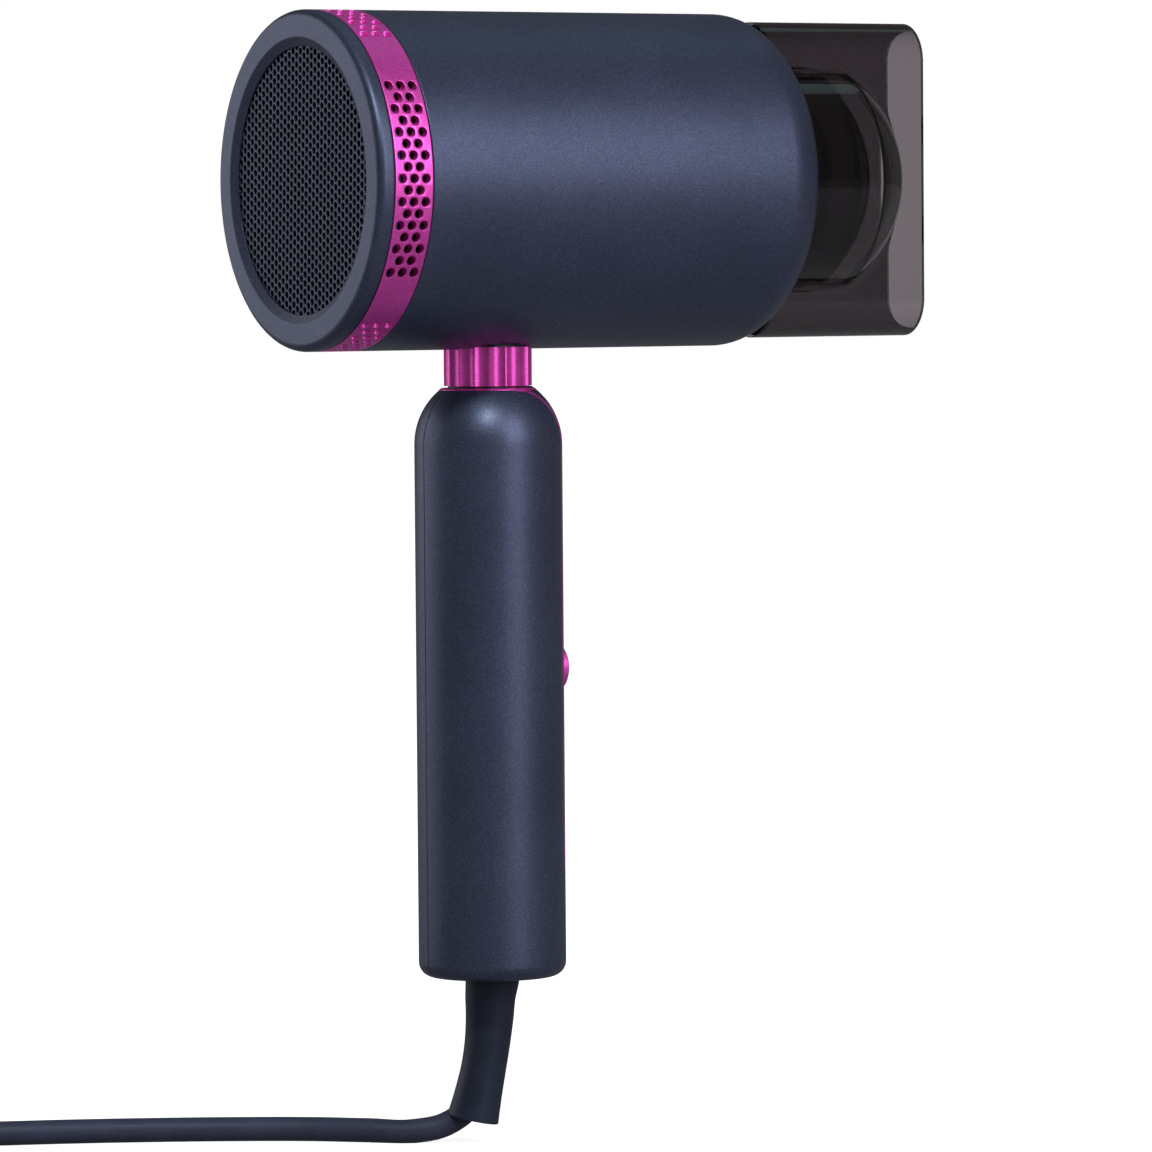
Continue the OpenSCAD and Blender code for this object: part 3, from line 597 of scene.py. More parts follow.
def flatGrid(bm, xFrom, xTo, zFrom, zTo, columns, rows):
    place = (Matrix.Translation(((xFrom + xTo) / 2 * mm, 0, (zFrom + zTo) / 2 * mm))
             @ Matrix.Diagonal(((xTo - xFrom) * mm, 1, (zTo - zFrom) * mm, 1))
             @ Matrix.Rotation(math.radians(90), 4, "X"))
    return bmesh.ops.create_grid(bm, x_segments=columns, y_segments=rows, size=0.5, matrix=place)["verts"]


def ventQuarter():
    # a flat plate with one group of holes and the plain stretch after it, later bent round the barrel
    v = vents
    bm = bmesh.new()
    rise = v["pitch"] * math.sqrt(3) / 2
    side, block = v["width"] / 2, v["pitch"] * 1.5
    for row in range(v["rows"]):
        z = (row - (v["rows"] - 1) / 2) * rise
        low, high = z - rise / 2, z + rise / 2
        count = 3 if row % 2 == 0 else 2
        for k in range(count):
            x = (k - (count - 1) / 2) * v["pitch"]
            cell = flatGrid(bm, x - v["pitch"] / 2, x + v["pitch"] / 2, low, high, 4, 4)
            middle = [vert for vert in cell if not vert.is_boundary]
            outer = [vert for vert in cell if vert.is_boundary]
            bmesh.ops.delete(bm, geom=middle, context="VERTS")
            hole = bmesh.ops.create_circle(bm, segments=16, radius=v["hole"] / 2 * mm,
                                           matrix=Matrix.Translation((x * mm, 0, z * mm))
                                           @ Matrix.Rotation(math.radians(90), 4, "X"))["verts"]
            bmesh.ops.bridge_loops(bm, edges=list({e for vert in outer + hole for e in vert.link_edges}))
        for sign in (-1, 1):
            ends = sorted((sign * block, sign * side))
            flatGrid(bm, *ends, low, high, 1, 4)
            if count == 2:
                flatGrid(bm, *sorted((sign * v["pitch"], sign * block)), low, high, 2, 4)
    reach = v["rows"] / 2 * rise
    plain = (math.pi / 2 - 2 * math.asin(reach / v["radius"])) * v["radius"]
    flatGrid(bm, -block, block, reach, reach + plain, 12, v["gapSteps"])
    for sign in (-1, 1):
        flatGrid(bm, *sorted((sign * block, sign * side)), reach, reach + plain, 1, v["gapSteps"])
    bmesh.ops.remove_doubles(bm, verts=bm.verts[:], dist=2e-5)
    made = bmesh.ops.extrude_face_region(bm, geom=bm.faces[:])
    bmesh.ops.translate(bm, verts=madeOf(made, bmesh.types.BMVert), vec=(0, v["wall"] * mm, 0))
    bmesh.ops.recalc_face_normals(bm, faces=bm.faces[:])
    for at in (-reach * mm, (reach + plain) * mm):
        bmesh.ops.delete(bm, geom=[f for f in bm.faces if all(abs(q.co.z - at) < 1e-6 for q in f.verts)],
                         context="FACES_ONLY")
    rims = [e for e in bm.edges if e.is_manifold and e.calc_face_angle(0) > 1.2 and e.verts[0].co.y < 1e-6
            and e.verts[1].co.y < 1e-6]
    bmesh.ops.bevel(bm, geom=rims, offset=v["rim"] * mm, offset_type="OFFSET", segments=2, profile=0.5,
                    affect="EDGES", material=-1)
    # the plate is bent round the barrel, and the plain stretch takes up what is left of its quarter
    for vert in bm.verts:
        x, depth, z = vert.co
        radius = v["radius"] * mm - depth
        edge = math.asin(reach * mm / radius)
        if z <= reach * mm + 1e-9:
            angle = math.asin(max(-1.0, min(1.0, z / radius)))
        else:
            angle = edge + (z / mm - reach) / plain * (math.pi / 2 - 2 * edge)
        vert.co = (x, -radius * math.cos(angle), radius * math.sin(angle))
    quarter = bpy.data.meshes.new("quarter")
    bm.to_mesh(quarter)
    bm.free()
    return quarter


def addVentRing():
    quarter = ventQuarter()
    bm = bmesh.new()
    for turn in range(4):
        known = len(bm.verts)
        bm.from_mesh(quarter)
        bm.verts.ensure_lookup_table()
        bmesh.ops.rotate(bm, verts=bm.verts[known:], cent=(0, 0, 0),
                         matrix=Matrix.Rotation(math.radians(-90 * turn), 3, "X"))
    bpy.data.meshes.remove(quarter)
    bmesh.ops.remove_doubles(bm, verts=bm.verts[:], dist=2e-5)
    bmesh.ops.translate(bm, verts=bm.verts[:], vec=((vents["back"] + vents["width"] / 2) * mm, 0, axisZ))
    bmesh.ops.recalc_face_normals(bm, faces=bm.faces[:])
    return makePiece("vent_ring_skin", bm, "dryer", magenta, ["vent_ring"])


handle = {"radius": 17.6, "top": 70.0, "shoulder": 17.0, "seat": 11.2, "foot": 3.5, "wall": 2.0, "hole": 6.7,
          "trimOut": 11.5, "trimIn": 10.6, "ringIn": 10.95, "trimLow": -40.0, "seam": 0.14, "columns": 60}


def shoulderCentre():
    h = handle
    across = h["radius"] - h["shoulder"]
    return across, h["top"] - math.sqrt(h["shoulder"] ** 2 - (h["seat"] - across) ** 2)


def handleRadius(z):
    across, level = shoulderCentre()
    if z > level:
        return across + math.sqrt(max(0.0, handle["shoulder"] ** 2 - (z - level) ** 2))
    return handle["radius"]


def quarterArc(steps):
    # cosines and sines from 0 to 90 degrees
    return [(math.cos(math.pi / 2 * k / steps), math.sin(math.pi / 2 * k / steps)) for k in range(steps + 1)]


def handleRows(keyhole):
    # rows of (radius, height, half width of the keyhole) from the neck down to the foot's hole
    h = handle
    across, level = shoulderCentre()
    start = math.acos((keyhole - across) / h["shoulder"])
    turns = [start * (1 - k / 16) for k in range(16)]
    rows = [(across + h["shoulder"] * math.cos(t), level + h["shoulder"] * math.sin(t), keyhole) for t in turns]
    rows += [(h["radius"], level + (h["trimLow"] - level) * k / 26, keyhole) for k in range(26)]
    rows += [(h["radius"], h["trimLow"] - keyhole * s, keyhole * c) for c, s in quarterArc(14)]
    bend = -h["top"] + h["foot"]
    last = h["trimLow"] - keyhole
    rows += [(h["radius"], last + (bend - last) * k / 6, 0) for k in range(1, 6)]
    rim = h["radius"] - h["foot"]
    rows += [(rim + h["foot"] * c, bend - h["foot"] * s, 0) for c, s in quarterArc(8)]
    rows += [(rim + (h["hole"] - rim) * k / 4, -h["top"], 0) for k in range(1, 5)]
    return rows


def addHandleHalf(name, side, node):
    # a grid wrapped from the keyhole's edge at the front to the seam at the back
    rows = handleRows(handle["trimOut"] + 0.05)
    bm = bmesh.new()
    bmesh.ops.create_grid(bm, x_segments=handle["columns"], y_segments=len(rows) - 1, size=1.0)
    for vert in bm.verts:
        radius, z, half = rows[round((vert.co.y + 1) / 2 * (len(rows) - 1))]
        first = math.asin(min(1.0, max(half, handle["seam"]) / radius))
        last = math.pi - math.asin(handle["seam"] / radius)
        angle = first + (last - first) * (vert.co.x + 1) / 2
        vert.co = (radius * math.cos(angle) * mm, side * radius * math.sin(angle) * mm, z * mm)
    faceOutward(bm, 1, side)
    return makePiece(name, bm, "dryer", paint, [node], wall=handle["wall"], edge=0.16)


panel = {"buttonZ": 3.1, "buttonHole": 5.8, "square": 7.2, "holeSteps": (0.6, 1.0), "edge": 0.14}


def addFrontPanel():
    h = handle
    half = h["trimIn"] - 0.05
    inset, middleZ = panel["square"], panel["buttonZ"]
    across = [-1, -0.84] + [inset / half * (k / 4 - 1) for k in range(9)] + [0.84, 1]
    level = shoulderCentre()[1]
    rows = [r for r in handleRows(half) if r[1] > level - 0.01]
    heights = [(z, half) for _, z, _ in rows]
    heights += [(level + (middleZ + inset - level) * k / 14, half) for k in range(1, 14)]
    heights += [(middleZ + inset - inset * k / 4, half) for k in range(9)]
    low = middleZ - inset
    heights += [(low + (h["trimLow"] - low) * k / 10, half) for k in range(1, 10)]
    heights += [(h["trimLow"] - half * s, half * c) for c, s in quarterArc(14)]
    bm = bmesh.new()
    bmesh.ops.create_grid(bm, x_segments=len(across) - 1, y_segments=len(heights) - 1, size=1.0)
    for vert in bm.verts:
        z, reach = heights[round((vert.co.y + 1) / 2 * (len(heights) - 1))]
        vert.co = (0, across[round((vert.co.x + 1) / 2 * (len(across) - 1))] * reach * mm, z * mm)
    bmesh.ops.remove_doubles(bm, verts=bm.verts[:], dist=1e-5)

    def inSquare(vert, reach):
        return abs(vert.co.y) < reach * mm and abs(vert.co.z - middleZ * mm) < reach * mm

    bmesh.ops.delete(bm, geom=[v for v in bm.verts if inSquare(v, inset - 0.3)], context="VERTS")
    around = [e for e in bm.edges if (e.is_boundary or e.is_wire) and all(inSquare(v, inset + 0.3) for v in e.verts)]
    for share in panel["holeSteps"]:  # in from the square opening to the round one
        made = bmesh.ops.extrude_edge_only(bm, edges=around)
        around = [e for e in madeOf(made, bmesh.types.BMEdge) if all(v in made["geom"] for v in e.verts)]
        for vert in madeOf(made, bmesh.types.BMVert):
            off = Vector((vert.co.y, vert.co.z - middleZ * mm))
            off = off.lerp(off.normalized() * panel["buttonHole"] * mm, share)
            vert.co.y, vert.co.z = off.x, off.y + middleZ * mm
    for vert in bm.verts:
        vert.co.x = math.sqrt(max(0.0, handleRadius(vert.co.z / mm) ** 2 - (vert.co.y / mm) ** 2)) * mm
    faceOutward(bm, 0)
    return makePiece("front_panel_skin", bm, "dryer", paint, ["front_panel"], wall=h["wall"],
                     edge=panel["edge"])


trim = {"deep": 1.2, "proud": 0.03, "sunk": 0.05, "ringFoot": 68.6, "ringProud": 0.06, "ringWide": 0.04}


def addTrim():
    # the magenta line: down both sides of the panel, round its lower end, and a ring round the neck's seat
    h, t = handle, trim
    level = shoulderCentre()[1]
    down = [z for _, z, _ in handleRows(h["trimOut"]) if z > level - 0.01]
    down += [level + (h["trimLow"] - level) * k / 30 for k in range(1, 30)]
    path = [(1, z) for z in down] + [(0, math.pi * k / 36) for k in range(37)] + [(-1, z) for z in reversed(down)]
    bm = bmesh.new()
    bmesh.ops.create_grid(bm, x_segments=1, y_segments=len(path) - 1, size=1.0)
    for vert in bm.verts:
        side, value = path[round((vert.co.y + 1) / 2 * (len(path) - 1))]
        half = h["trimIn"] if vert.co.x < 0 else h["trimOut"]
        y, z = (side * half, value) if side else (half * math.cos(value), h["trimLow"] - half * math.sin(value))
        x = math.sqrt(max(0.0, handleRadius(z) ** 2 - y ** 2)) + (t["proud"] if z > level else -t["sunk"])
        vert.co = (x * mm, y * mm, z * mm)
    faceOutward(bm, 0)
    made = bmesh.ops.extrude_face_region(bm, geom=bm.faces[:])
    for vert in madeOf(made, bmesh.types.BMVert):
        vert.co.x -= t["deep"] * mm * vert.co.x / math.hypot(vert.co.x, vert.co.y)
        vert.co.y -= t["deep"] * mm * vert.co.y / math.hypot(vert.co.x, vert.co.y)
    bmesh.ops.recalc_face_normals(bm, faces=bm.faces[:])
    seat = [level + math.sqrt(h["shoulder"] ** 2 - (r - h["radius"] + h["shoulder"]) ** 2)
            for r in (h["ringIn"], h["trimOut"])]
    outside = h["trimOut"] + t["ringWide"]
    ring = spinSection([(t["ringFoot"], h["ringIn"], 0), (seat[0] + t["ringProud"], h["ringIn"], 0.1),
                        (seat[1] + t["ringProud"], outside, 0.1), (t["ringFoot"], outside, 0)], 96, axis="Z")
    joinInto(bm, ring)
    return makePiece("trim_line", bm, "dryer", magenta, ["trim_band"])


button = {"z": 3.1, "back": 12.33, "flange": 13.83, "flangeRadius": 6.4, "radius": 5.6, "front": 19.8, "rise": 1.2,
          "crown": (4.9, 4.0, 3.0, 2.0, 1.0, 0.0)}


def addButton():
    b = button
    big = (b["radius"] ** 2 + b["rise"] ** 2) / (2 * b["rise"])  # radius of the slightly domed face
    crown = [(b["front"] - big + math.sqrt(big ** 2 - r ** 2), r, 0) for r in b["crown"]]
    bm = spinSection([(b["back"], 0, 0), (b["back"], b["flangeRadius"], 0.2), (b["flange"], b["flangeRadius"], 0.2),
                      (b["flange"], b["radius"], 0), (b["front"] - b["rise"], b["radius"], 0.45)] + crown,
                     64, closed=False, centre=(0, 0, b["z"]))
    return makePiece("power_button_cap", bm, "button", magenta, ["power_button"])


collar = {"radius": 10.5, "bore": 6.75, "flutes": 17, "depth": 0.8, "cutter": 2.7, "bottom": 70.65, "top": 79.9,
          "perFlute": 24}
# painted shade: a black ring inside the collar, standing in for the shadow in the gaps under the barrel and above the
# trim ring
gapShade = {"bottom": 67.2, "top": 81.0, "radius": 9.5, "bore": 6.9}


def addCollar():
    # a tube with round-bottomed flutes, over a black ring that fills the gaps above and below it with painted shade,
    # dark where those gaps fall in shadow
    c = collar
    cutter = c["cutter"]
    away = c["radius"] + cutter - c["depth"]
    count = c["flutes"] * c["perFlute"]
    bm = bmesh.new()

    def loop(radius, z):
        return bmesh.ops.create_circle(bm, segments=count, radius=radius * mm,
                                       matrix=Matrix.Translation((0, 0, z * mm)))["verts"]

    def edgesOf(verts):
        return list({e for v in verts for e in v.link_edges if all(q in verts for q in e.verts)})

    loops = [set(loop(r, c["bottom"])) for r in (c["radius"], c["radius"], c["bore"], c["bore"])]
    for verts in loops[:2]:
        for vert in verts:
            angle = math.atan2(vert.co.y, vert.co.x)
            step = math.tau / c["flutes"]
            off = ((angle + step / 2) % step) - step / 2
            radius = c["radius"]
            if away * abs(math.sin(off)) < cutter:
                radius = min(radius, away * math.cos(off) - math.sqrt(cutter ** 2 - (away * math.sin(off)) ** 2))
            vert.co.x, vert.co.y = radius * math.cos(angle) * mm, radius * math.sin(angle) * mm
    for verts in (loops[1], loops[2]):
        for vert in verts:
            vert.co.z = c["top"] * mm
    rings = [edgesOf(verts) for verts in loops]
    for a, b in ((0, 1), (1, 2), (2, 3), (3, 0)):
        bmesh.ops.bridge_loops(bm, edges=rings[a] + rings[b])
    bmesh.ops.recalc_face_normals(bm, faces=bm.faces[:])
    # the black ring is painted shade for the gaps above and below the flutes
    ring = spinSection([(gapShade["bottom"], gapShade["bore"], 0), (gapShade["bottom"], gapShade["radius"], 0.2),
                        (gapShade["top"], gapShade["radius"], 0), (gapShade["top"], gapShade["bore"], 0)], 96, axis="Z")
    makePiece("neck_gap_shade", ring, "dryer", black)
    return makePiece("neck_flutes", bm, "dryer", magenta, ["neck_collar"], sharp=38, edge=0.1,
                     edgeAngle=38)


nozzle = {"back": 73.4, "mouth": 118.2, "high": 38.2, "thick": 9.2, "wall": 1.8, "collar": 27.5, "collarEnd": 95.0,
          "dome": 17.0, "spigot": 25.5, "spigotBack": 65.0, "fillet": 2.6, "innerFillet": 1.82, "crowd": 0.36,
          "steps": 320}


def flatOutline(turn, high, thick):
    # distance from the axis to a tall slot with round ends; turn is measured from straight up
    reach = high - thick
    s, c = abs(math.sin(turn)), abs(math.cos(turn))
    if s > 1e-6 and thick / s * c <= reach:  # on one of the flat sides
        return thick / s
    return reach * c + math.sqrt(max(0.0, thick ** 2 - (reach * s) ** 2))


def domeRadius(x, radius, end, rise):
    # a round tube that a shallow dome closes
    if x <= end:
        return radius
    big = (radius ** 2 + rise ** 2) / (2 * rise)
    return math.sqrt(max(0.0, big ** 2 - (x - end + big - rise) ** 2))


def blendedMax(a, b, soft):
    # the larger of two radii, with a fillet where they cross
    near = max(soft - abs(a - b), 0.0) / soft
    return max(a, b) + near * near * soft / 4


def addNozzle():
    # one closed chain is spun round the axis; each of its points then takes its own line and outline
    n = nozzle
    inBack = n["back"] + n["wall"]
    spigotIn = n["spigot"] - n["wall"]
    lines = [n["back"] + (n["collarEnd"] - n["back"]) * k / 12 for k in range(13)]
    lines += [n["collarEnd"] + 0.6 * k for k in range(1, 30)]
    lines += [n["collarEnd"] + 18 + (n["mouth"] - n["collarEnd"] - 18) * k / 4 for k in range(5)]
    innerLines = [x for x in reversed(lines) if x > inBack + 0.5]

    def outer(x, turn):
        return blendedMax(flatOutline(turn, n["high"], n["thick"]),
                          domeRadius(x, n["collar"], n["collarEnd"], n["dome"]), n["fillet"])

    def inner(x, turn):
        dome = domeRadius(x, n["collar"] - n["wall"], n["collarEnd"], n["dome"] - n["wall"])
        return blendedMax(flatOutline(turn, n["high"] - n["wall"], n["thick"] - n["wall"]), dome, n["innerFillet"])

    plate = [0.12, 0.3, 0.5, 0.7, 0.88]
    chain = [(n["spigotBack"], lambda x, t: n["spigot"]), (n["back"] - 4, lambda x, t: n["spigot"]),
             (n["back"], lambda x, t: n["spigot"])]
    chain += [(n["back"], lambda x, t, s=s: n["spigot"] + s * (outer(x, t) - n["spigot"])) for s in plate]
    chain += [(x, outer) for x in lines]
    chain += [(x, inner) for x in innerLines]
    chain += [(inBack, inner)]
    chain += [(inBack, lambda x, t, s=s: spigotIn + s * (inner(x, t) - spigotIn)) for s in reversed(plate)]
    chain += [(inBack, lambda x, t: spigotIn), (n["spigotBack"], lambda x, t: spigotIn)]
    bm = bmesh.new()
    ringOf(bm, [(k * mm, 0, 1) for k in range(len(chain))], closed=True)
    bmesh.ops.spin(bm, geom=bm.verts[:] + bm.edges[:], cent=(0, 0, 0), axis=(1, 0, 0), angle=math.tau,
                   steps=n["steps"], use_merge=True, use_duplicate=False)
    for vert in bm.verts:
        x, shape = chain[round(vert.co.x / mm)]
        turn = math.atan2(vert.co.y, vert.co.z)
        turn -= n["crowd"] * math.sin(2 * turn)  # more columns where the slot's ends are
        radius = shape(x, turn)
        vert.co = (x * mm, radius * math.sin(turn) * mm, axisZ + radius * math.cos(turn) * mm)
    bmesh.ops.recalc_face_normals(bm, faces=bm.faces[:])
    return makePiece("nozzle_body", bm, "nozzle", smoke, ["nozzle"], sharp=50, edge=0.35, edgeAngle=55,
                     edgeSteps=3)


funnel = {"back": 75.5, "centre": 71.2, "ball": 31.0, "wall": 2.2, "radius": 25.5, "slot": 7.45}


def addFunnel():
    # a ball-shaped guide, cut open along both sides of the slot
    f = funnel
    corners = [(f["back"], f["radius"], 0.2)]
    for thinner, shares in ((0, [1 - k / 24 for k in range(25)]), (f["wall"], [k / 24 for k in range(25)])):
        ball = f["ball"] - thinner
        start = math.asin((f["radius"] - thinner) / ball)
        corners += [(f["centre"] + ball * math.cos(start * s), ball * math.sin(start * s), 0) for s in shares]
    corners += [(f["back"], f["radius"] - f["wall"], 0.2)]
    bm = spinSection(corners, 128, centre=(0, 0, axisZ / mm))
    cut = bmesh.ops.bisect_plane(bm, geom=bm.verts[:] + bm.edges[:] + bm.faces[:], dist=1e-7,
                                 plane_co=(0, f["slot"] * mm, 0), plane_no=(0, -1, 0), clear_outer=True)
    cutEdges = [g for g in cut["geom_cut"] if isinstance(g, bmesh.types.BMEdge)]
    bmesh.ops.holes_fill(bm, edges=cutEdges, sides=0)
    bmesh.ops.mirror(bm, geom=bm.verts[:] + bm.edges[:] + bm.faces[:], axis="Y", merge_dist=0)
    bmesh.ops.recalc_face_normals(bm, faces=bm.faces[:])
    return makePiece("nozzle_guide", bm, "nozzle", smoke, ["nozzle_funnel"], edge=0.5, edgeAngle=50,
                     edgeSteps=3)


relief = {"radius": 6.5, "path": [(0, 0, -66), (0, 0, -70), (-0.5, 0.3, -75), (-0.7, 0.4, -80), (-1.2, 0.7, -86),
                                  (-2, 1.2, -92), (-3.1, 1.8, -98), (-4.3, 2.5, -104.2)],
          "share": [1, 1, 0.93, 0.88, 0.84, 0.83, 0.87, 0.95], "bore": [3.1, 3.1, 3.1, 3.1, 3.3, 3.7, 4.3, 4.9]}


def addRelief():
    # a tapered sleeve that flares again at its open end, where the cord bends away
    r = relief
    path = [p * mm for p in smoothPath(r["path"], 5)]
    outer = [p.x * r["radius"] * mm for p in smoothPath([(s, 0, 0) for s in r["share"]], 5)]
    bore = [p.x * mm for p in smoothPath([(s, 0, 0) for s in r["bore"]], 5)]
    bm, rings = sweep(path, outer, 48)
    _, inner = sweep(path, bore, 48, bm)
    for end in (0, -1):
        bmesh.ops.bridge_loops(bm, edges=rings[end] + inner[end])
    bmesh.ops.recalc_face_normals(bm, faces=bm.faces[:])
    return makePiece("cord_sleeve", bm, "dryer", reliefRubber, ["strain_relief"], edge=0.45,
                     edgeAngle=50, edgeSteps=3)


tie = {"angle": 200.0, "width": 9.0, "thick": 0.9, "lapAt": 2.5, "lapLong": 13, "lapLift": 0.25}


def addTie():
    # a hook-and-loop strap round the coil's section, with its free end lapped over the top
    across = cord["diameter"] * cord["wide"] / 2 + tie["thick"] / 2
    tall = cord["diameter"] * cord["high"]
    half = tie["thick"] / 2
    corners = [(-across, half), (across, half), (across, tall + half), (-across, tall + half)]
    bm = bmesh.new()
    verts, _ = ringOf(bm, [(a * mm, 0, z * mm) for a, z in corners], closed=True)
    roundCorners(bm, verts, [1.2, 1.2, 2.6, 2.6], lambda radius: 5)
    made = bmesh.ops.extrude_edge_only(bm, edges=bm.edges[:])
    bmesh.ops.translate(bm, verts=madeOf(made, bmesh.types.BMVert), vec=(0, tie["width"] * mm, 0))
    lap = bmesh.ops.create_grid(bm, x_segments=8, y_segments=2, size=0.5, matrix=(
        Matrix.Translation((tie["lapAt"] * mm, tie["width"] / 2 * mm, (tall + half + tie["thick"] * 0.5) * mm))
        @ Matrix.Diagonal((tie["lapLong"] * mm, tie["width"] * 0.96 * mm, 1, 1))))["verts"]
    for vert in lap:  # the free end lifts a little
        vert.co.z += tie["lapLift"] * mm * max(0.0, vert.co.x / mm / tie["width"]) ** 2
    bmesh.ops.translate(bm, verts=bm.verts[:], vec=(0, -tie["width"] / 2 * mm, 0))
    bmesh.ops.recalc_face_normals(bm, faces=bm.faces[:])
    turn = math.radians(tie["angle"])
    bmesh.ops.translate(bm, verts=bm.verts[:], vec=(cord["coilMid"] * mm, 0, cord["floor"] * mm))
    bmesh.ops.rotate(bm, verts=bm.verts[:], cent=(0, 0, 0), matrix=Matrix.Rotation(turn, 3, "Z"))
    bmesh.ops.translate(bm, verts=bm.verts[:], vec=(cord["coilAt"][0] * mm, cord["coilAt"][1] * mm, 0))
    return makePiece("cord_strap", bm, "dryer", strap, ["cord_tie"], wall=tie["thick"] * 0.7, edge=0.15,
                     offset=0.0)


plug = {"at": (-152.0, 60.0, -86.4), "turn": 180.0, "boot": 14.0, "length": 34.0, "wide": 18.0, "high": 12.0,
        "ribs": 5, "ribPitch": 2.4, "ribDepth": 0.7, "grips": 4, "gripPitch": 2.2, "gripDepth": 0.5,
        "pin": 2.4, "pinLength": 19.0, "pinGap": 19.0}


def addPlug():
    # sections of (along, half width, half height): a ribbed boot, a swelling body and four finger grooves
    p = plug
    wide, high = p["wide"], p["high"]
    place = Matrix.Translation(Vector(p["at"]) * mm) @ Matrix.Rotation(math.radians(p["turn"]), 4, "Z")
    face = p["boot"] + p["length"]
    sections = [(0.0, 3.2, 3.2), (0.3, 3.9, 3.9)]
    for k in range(p["ribs"]):
        x, grow = 1.2 + k * p["ribPitch"], 3.9 + 0.16 * k
        low = grow - p["ribDepth"]
        sections += [(x, grow, grow), (x + 0.2, low, low), (x + 1.0, low, low), (x + 1.2, grow + 0.1, grow + 0.1)]
    sections += [(13.6, 4.9, 4.9), (14.2, 7.2, 6.0), (15.4, 8.9, 7.0), (20.0, 11.2, 8.3), (27.0, 15.4, 10.6),
                 (31.5, 17.5, 11.8), (34.0, wide, high), (36.0, wide, high)]
    for k in range(p["grips"]):
        x, deep = 36.8 + p["gripPitch"] * k, p["gripDepth"]
        sections += [(x, wide, high), (x + 0.25, wide - deep, high - deep), (x + 0.95, wide - deep, high - deep),
                     (x + 1.2, wide, high)]
    sections += [(face - 1.4, wide, high), (face - 0.5, wide - 0.4, high - 0.4), (face, wide - 1.4, high - 1.4)]
    bm = bmesh.new()
    previous, first = None, None
    for x, across, tall in sections:
        ring = bmesh.ops.create_circle(bm, segments=64, radius=1.0,
                                       matrix=Matrix.Rotation(math.radians(90), 4, "Y"))["verts"]
        for vert in ring:
            vert.co = (x * mm, vert.co.y * across * mm, vert.co.z * tall * mm)
        edges = list({e for v in ring for e in v.link_edges})
        if previous:
            bmesh.ops.bridge_loops(bm, edges=previous + edges)
        first = first or edges
        previous = edges
    bmesh.ops.holes_fill(bm, edges=first + previous, sides=0)
    bmesh.ops.recalc_face_normals(bm, faces=bm.faces[:])
    bmesh.ops.transform(bm, matrix=place, verts=bm.verts[:])
    body = makePiece("plug_shell", bm, "dryer", plugRubber, ["plug_body"], sharp=40)
    bm = bmesh.new()
    for sign in (-1, 1):
        pin = spinSection([(0, 0, 0), (0, p["pin"], 0), (p["pinLength"], p["pin"], 1.3), (p["pinLength"], 0, 0)], 40,
                          closed=False, centre=(face, sign * p["pinGap"] / 2, 0))
        joinInto(bm, pin)
    bmesh.ops.transform(bm, matrix=place, verts=bm.verts[:])
    pins = makePiece("plug_contact_pins", bm, "dryer", nickel, ["plug_pins"])
    return body, pins


addBarrel()
addBezel()
addIntakeMesh()
addRetainer()
addVentRing()
print("barrel, bezel, screen and vent ring made")
addHandleHalf("handle_skin_left", 1, "handle_shell_left")
addHandleHalf("handle_skin_right", -1, "handle_shell_right")
addFrontPanel()
addTrim()
addButton()
addCollar()
print("handle and neck made")
addNozzle()
addFunnel()
print("nozzle made")
sleevePiece = addRelief()
strapPiece = addTie()
plugPiece, pinPiece = addPlug()
print("cord, sleeve, strap and plug made")


def addFloor():
    # pale and even; it glows for the eye and through the clear nozzle, and gives little light back
    bm = bmesh.new()
    bmesh.ops.create_grid(bm, x_segments=1, y_segments=1, size=9.0)
    bmesh.ops.translate(bm, verts=bm.verts[:], vec=(0, 0, cord["floor"] * mm))
    mesh = bpy.data.meshes.new("floor")
    bm.to_mesh(mesh)
    bm.free()
    floor = bpy.data.objects.new("floor", mesh)
    scene.collection.objects.link(floor)
    n = Nodes("pale_floor")
    away = n.add("ShaderNodeVectorMath", {0: n.coords, 1: (-0.05, 0.03, cord["floor"] * mm)},
                 operation="DISTANCE").outputs["Value"]
    glow = n.stretch(away, 0.12, 0.55, 0.80, 1.0)
    path = n.add("ShaderNodeLightPath")
    seen = n.add("ShaderNodeMath", {0: path.outputs["Is Camera Ray"], 1: path.outputs["Is Transmission Ray"]},
                 operation="MAXIMUM").outputs[0]
    grain = n.noise(3, 2)
    colour = n.ramp(n.plus(n.times(grain, 0.05), n.times(seen, 0.9)),
                    [(0.03, (0.16, 0.16, 0.17)), (0.9, (0.92, 0.92, 0.93))])
    strength = n.times(glow, n.stretch(seen, 0, 1, 0.12, 1.0))
    mesh.materials.append(n.finish(Base_Color=colour, Roughness=0.9, Specular_IOR_Level=0.0,
                                   Emission_Color=(1, 1, 1, 1), Emission_Strength=strength))


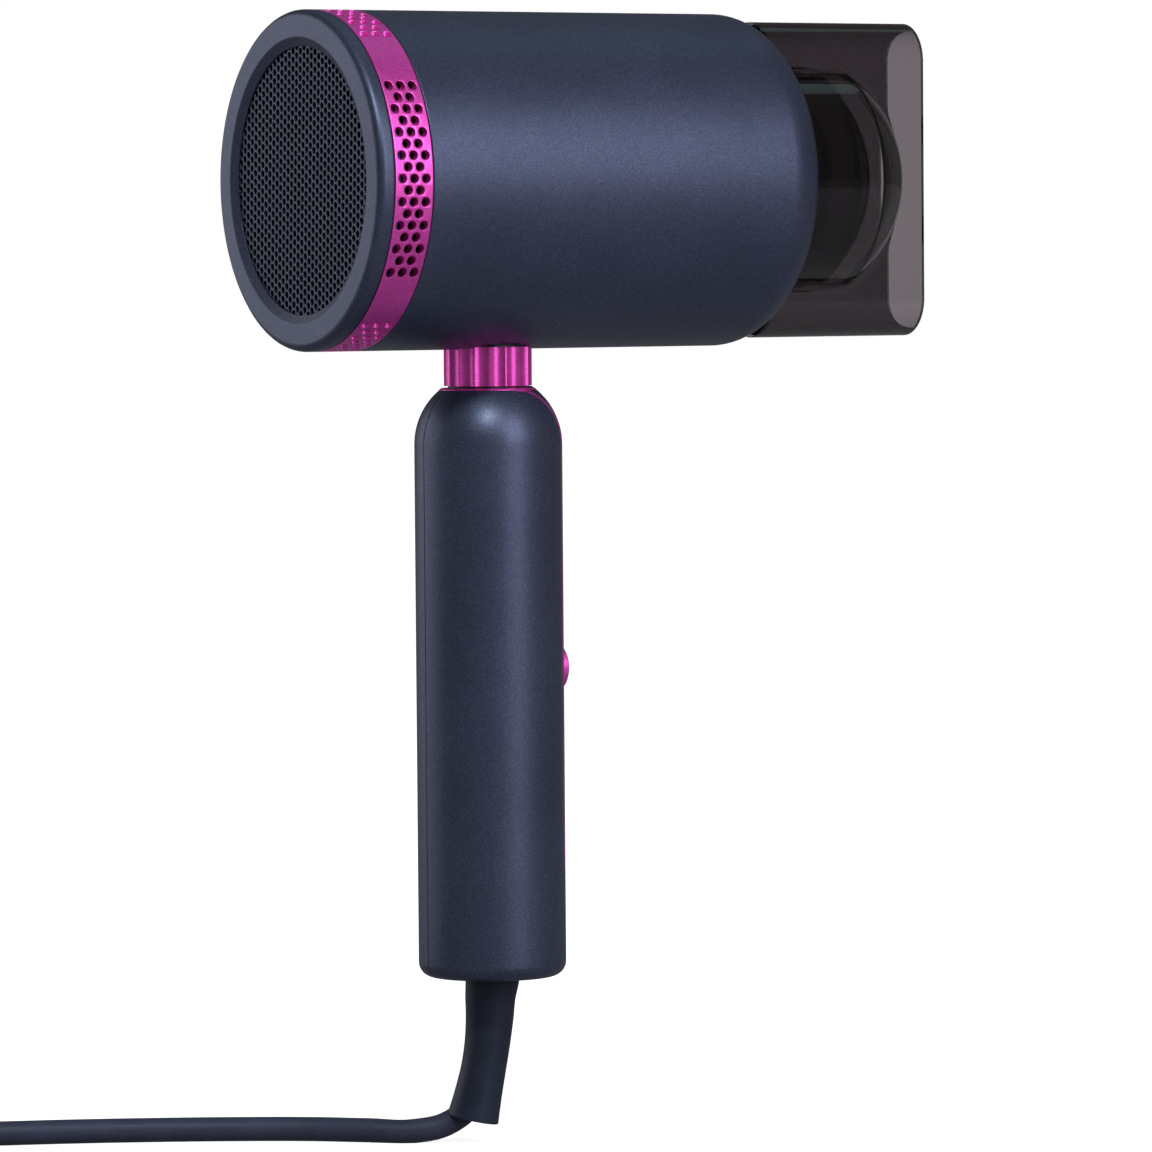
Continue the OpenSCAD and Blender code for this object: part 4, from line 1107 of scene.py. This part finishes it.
def addSoftbox(name, azimuth, elevation, distance, size, power, colour):
    # azimuth 0 is on the -Y side and 90 on the +X side, as seen from the object
    a, e = math.radians(azimuth), math.radians(elevation)
    away = Vector((math.sin(a) * math.cos(e), -math.cos(a) * math.cos(e), math.sin(e)))
    data = bpy.data.lights.new(name, "AREA")
    data.shape = "RECTANGLE"
    data.size, data.size_y = size
    data.energy = power
    data.color = colour
    lamp = bpy.data.objects.new(name, data)
    scene.collection.objects.link(lamp)
    lamp.location = Vector((0.02, 0, 0.06)) + away * distance
    lamp.rotation_mode = "QUATERNION"
    lamp.rotation_quaternion = away.to_track_quat("Z", "Y")


def addWorld():
    # white to the eye and through the clear nozzle, dimmer as a light
    world = bpy.data.worlds.new("studio")
    scene.world = world
    world.use_nodes = True
    tree = world.node_tree
    back = tree.nodes["Background"]
    path = tree.nodes.new("ShaderNodeLightPath")
    seen = tree.nodes.new("ShaderNodeMath")
    seen.operation = "MAXIMUM"
    tree.links.new(path.outputs["Is Camera Ray"], seen.inputs[0])
    tree.links.new(path.outputs["Is Transmission Ray"], seen.inputs[1])
    level = tree.nodes.new("ShaderNodeMapRange")
    level.inputs["To Min"].default_value = 0.085
    level.inputs["To Max"].default_value = 1.0
    tree.links.new(seen.outputs[0], level.inputs["Value"])
    tree.links.new(level.outputs["Result"], back.inputs["Strength"])
    back.inputs["Color"].default_value = (1, 1, 1, 1)


lamps = {  # azimuth, elevation, distance in metres, size, power in watts, colour
    "key": (13, 21, 1.6, (0.75, 1.2), 12.5, (0.95, 0.94, 1.0)),
    "spot": (-30, 46.5, 1.6, (0.12, 0.12), 11, (0.88, 1.0, 0.95)),
    "behind left": (-142, 6, 1.7, (1.6, 1.2), 7, (0.97, 0.98, 1.0)),
    "top": (150, 66, 1.5, (1.4, 0.6), 0.8, (0.62, 0.95, 1.0)),
}

addFloor()
addWorld()
for lampName, lampValues in lamps.items():
    addSoftbox(lampName, *lampValues)
scene.view_settings.view_transform = "Standard"
print("floor and lights made")
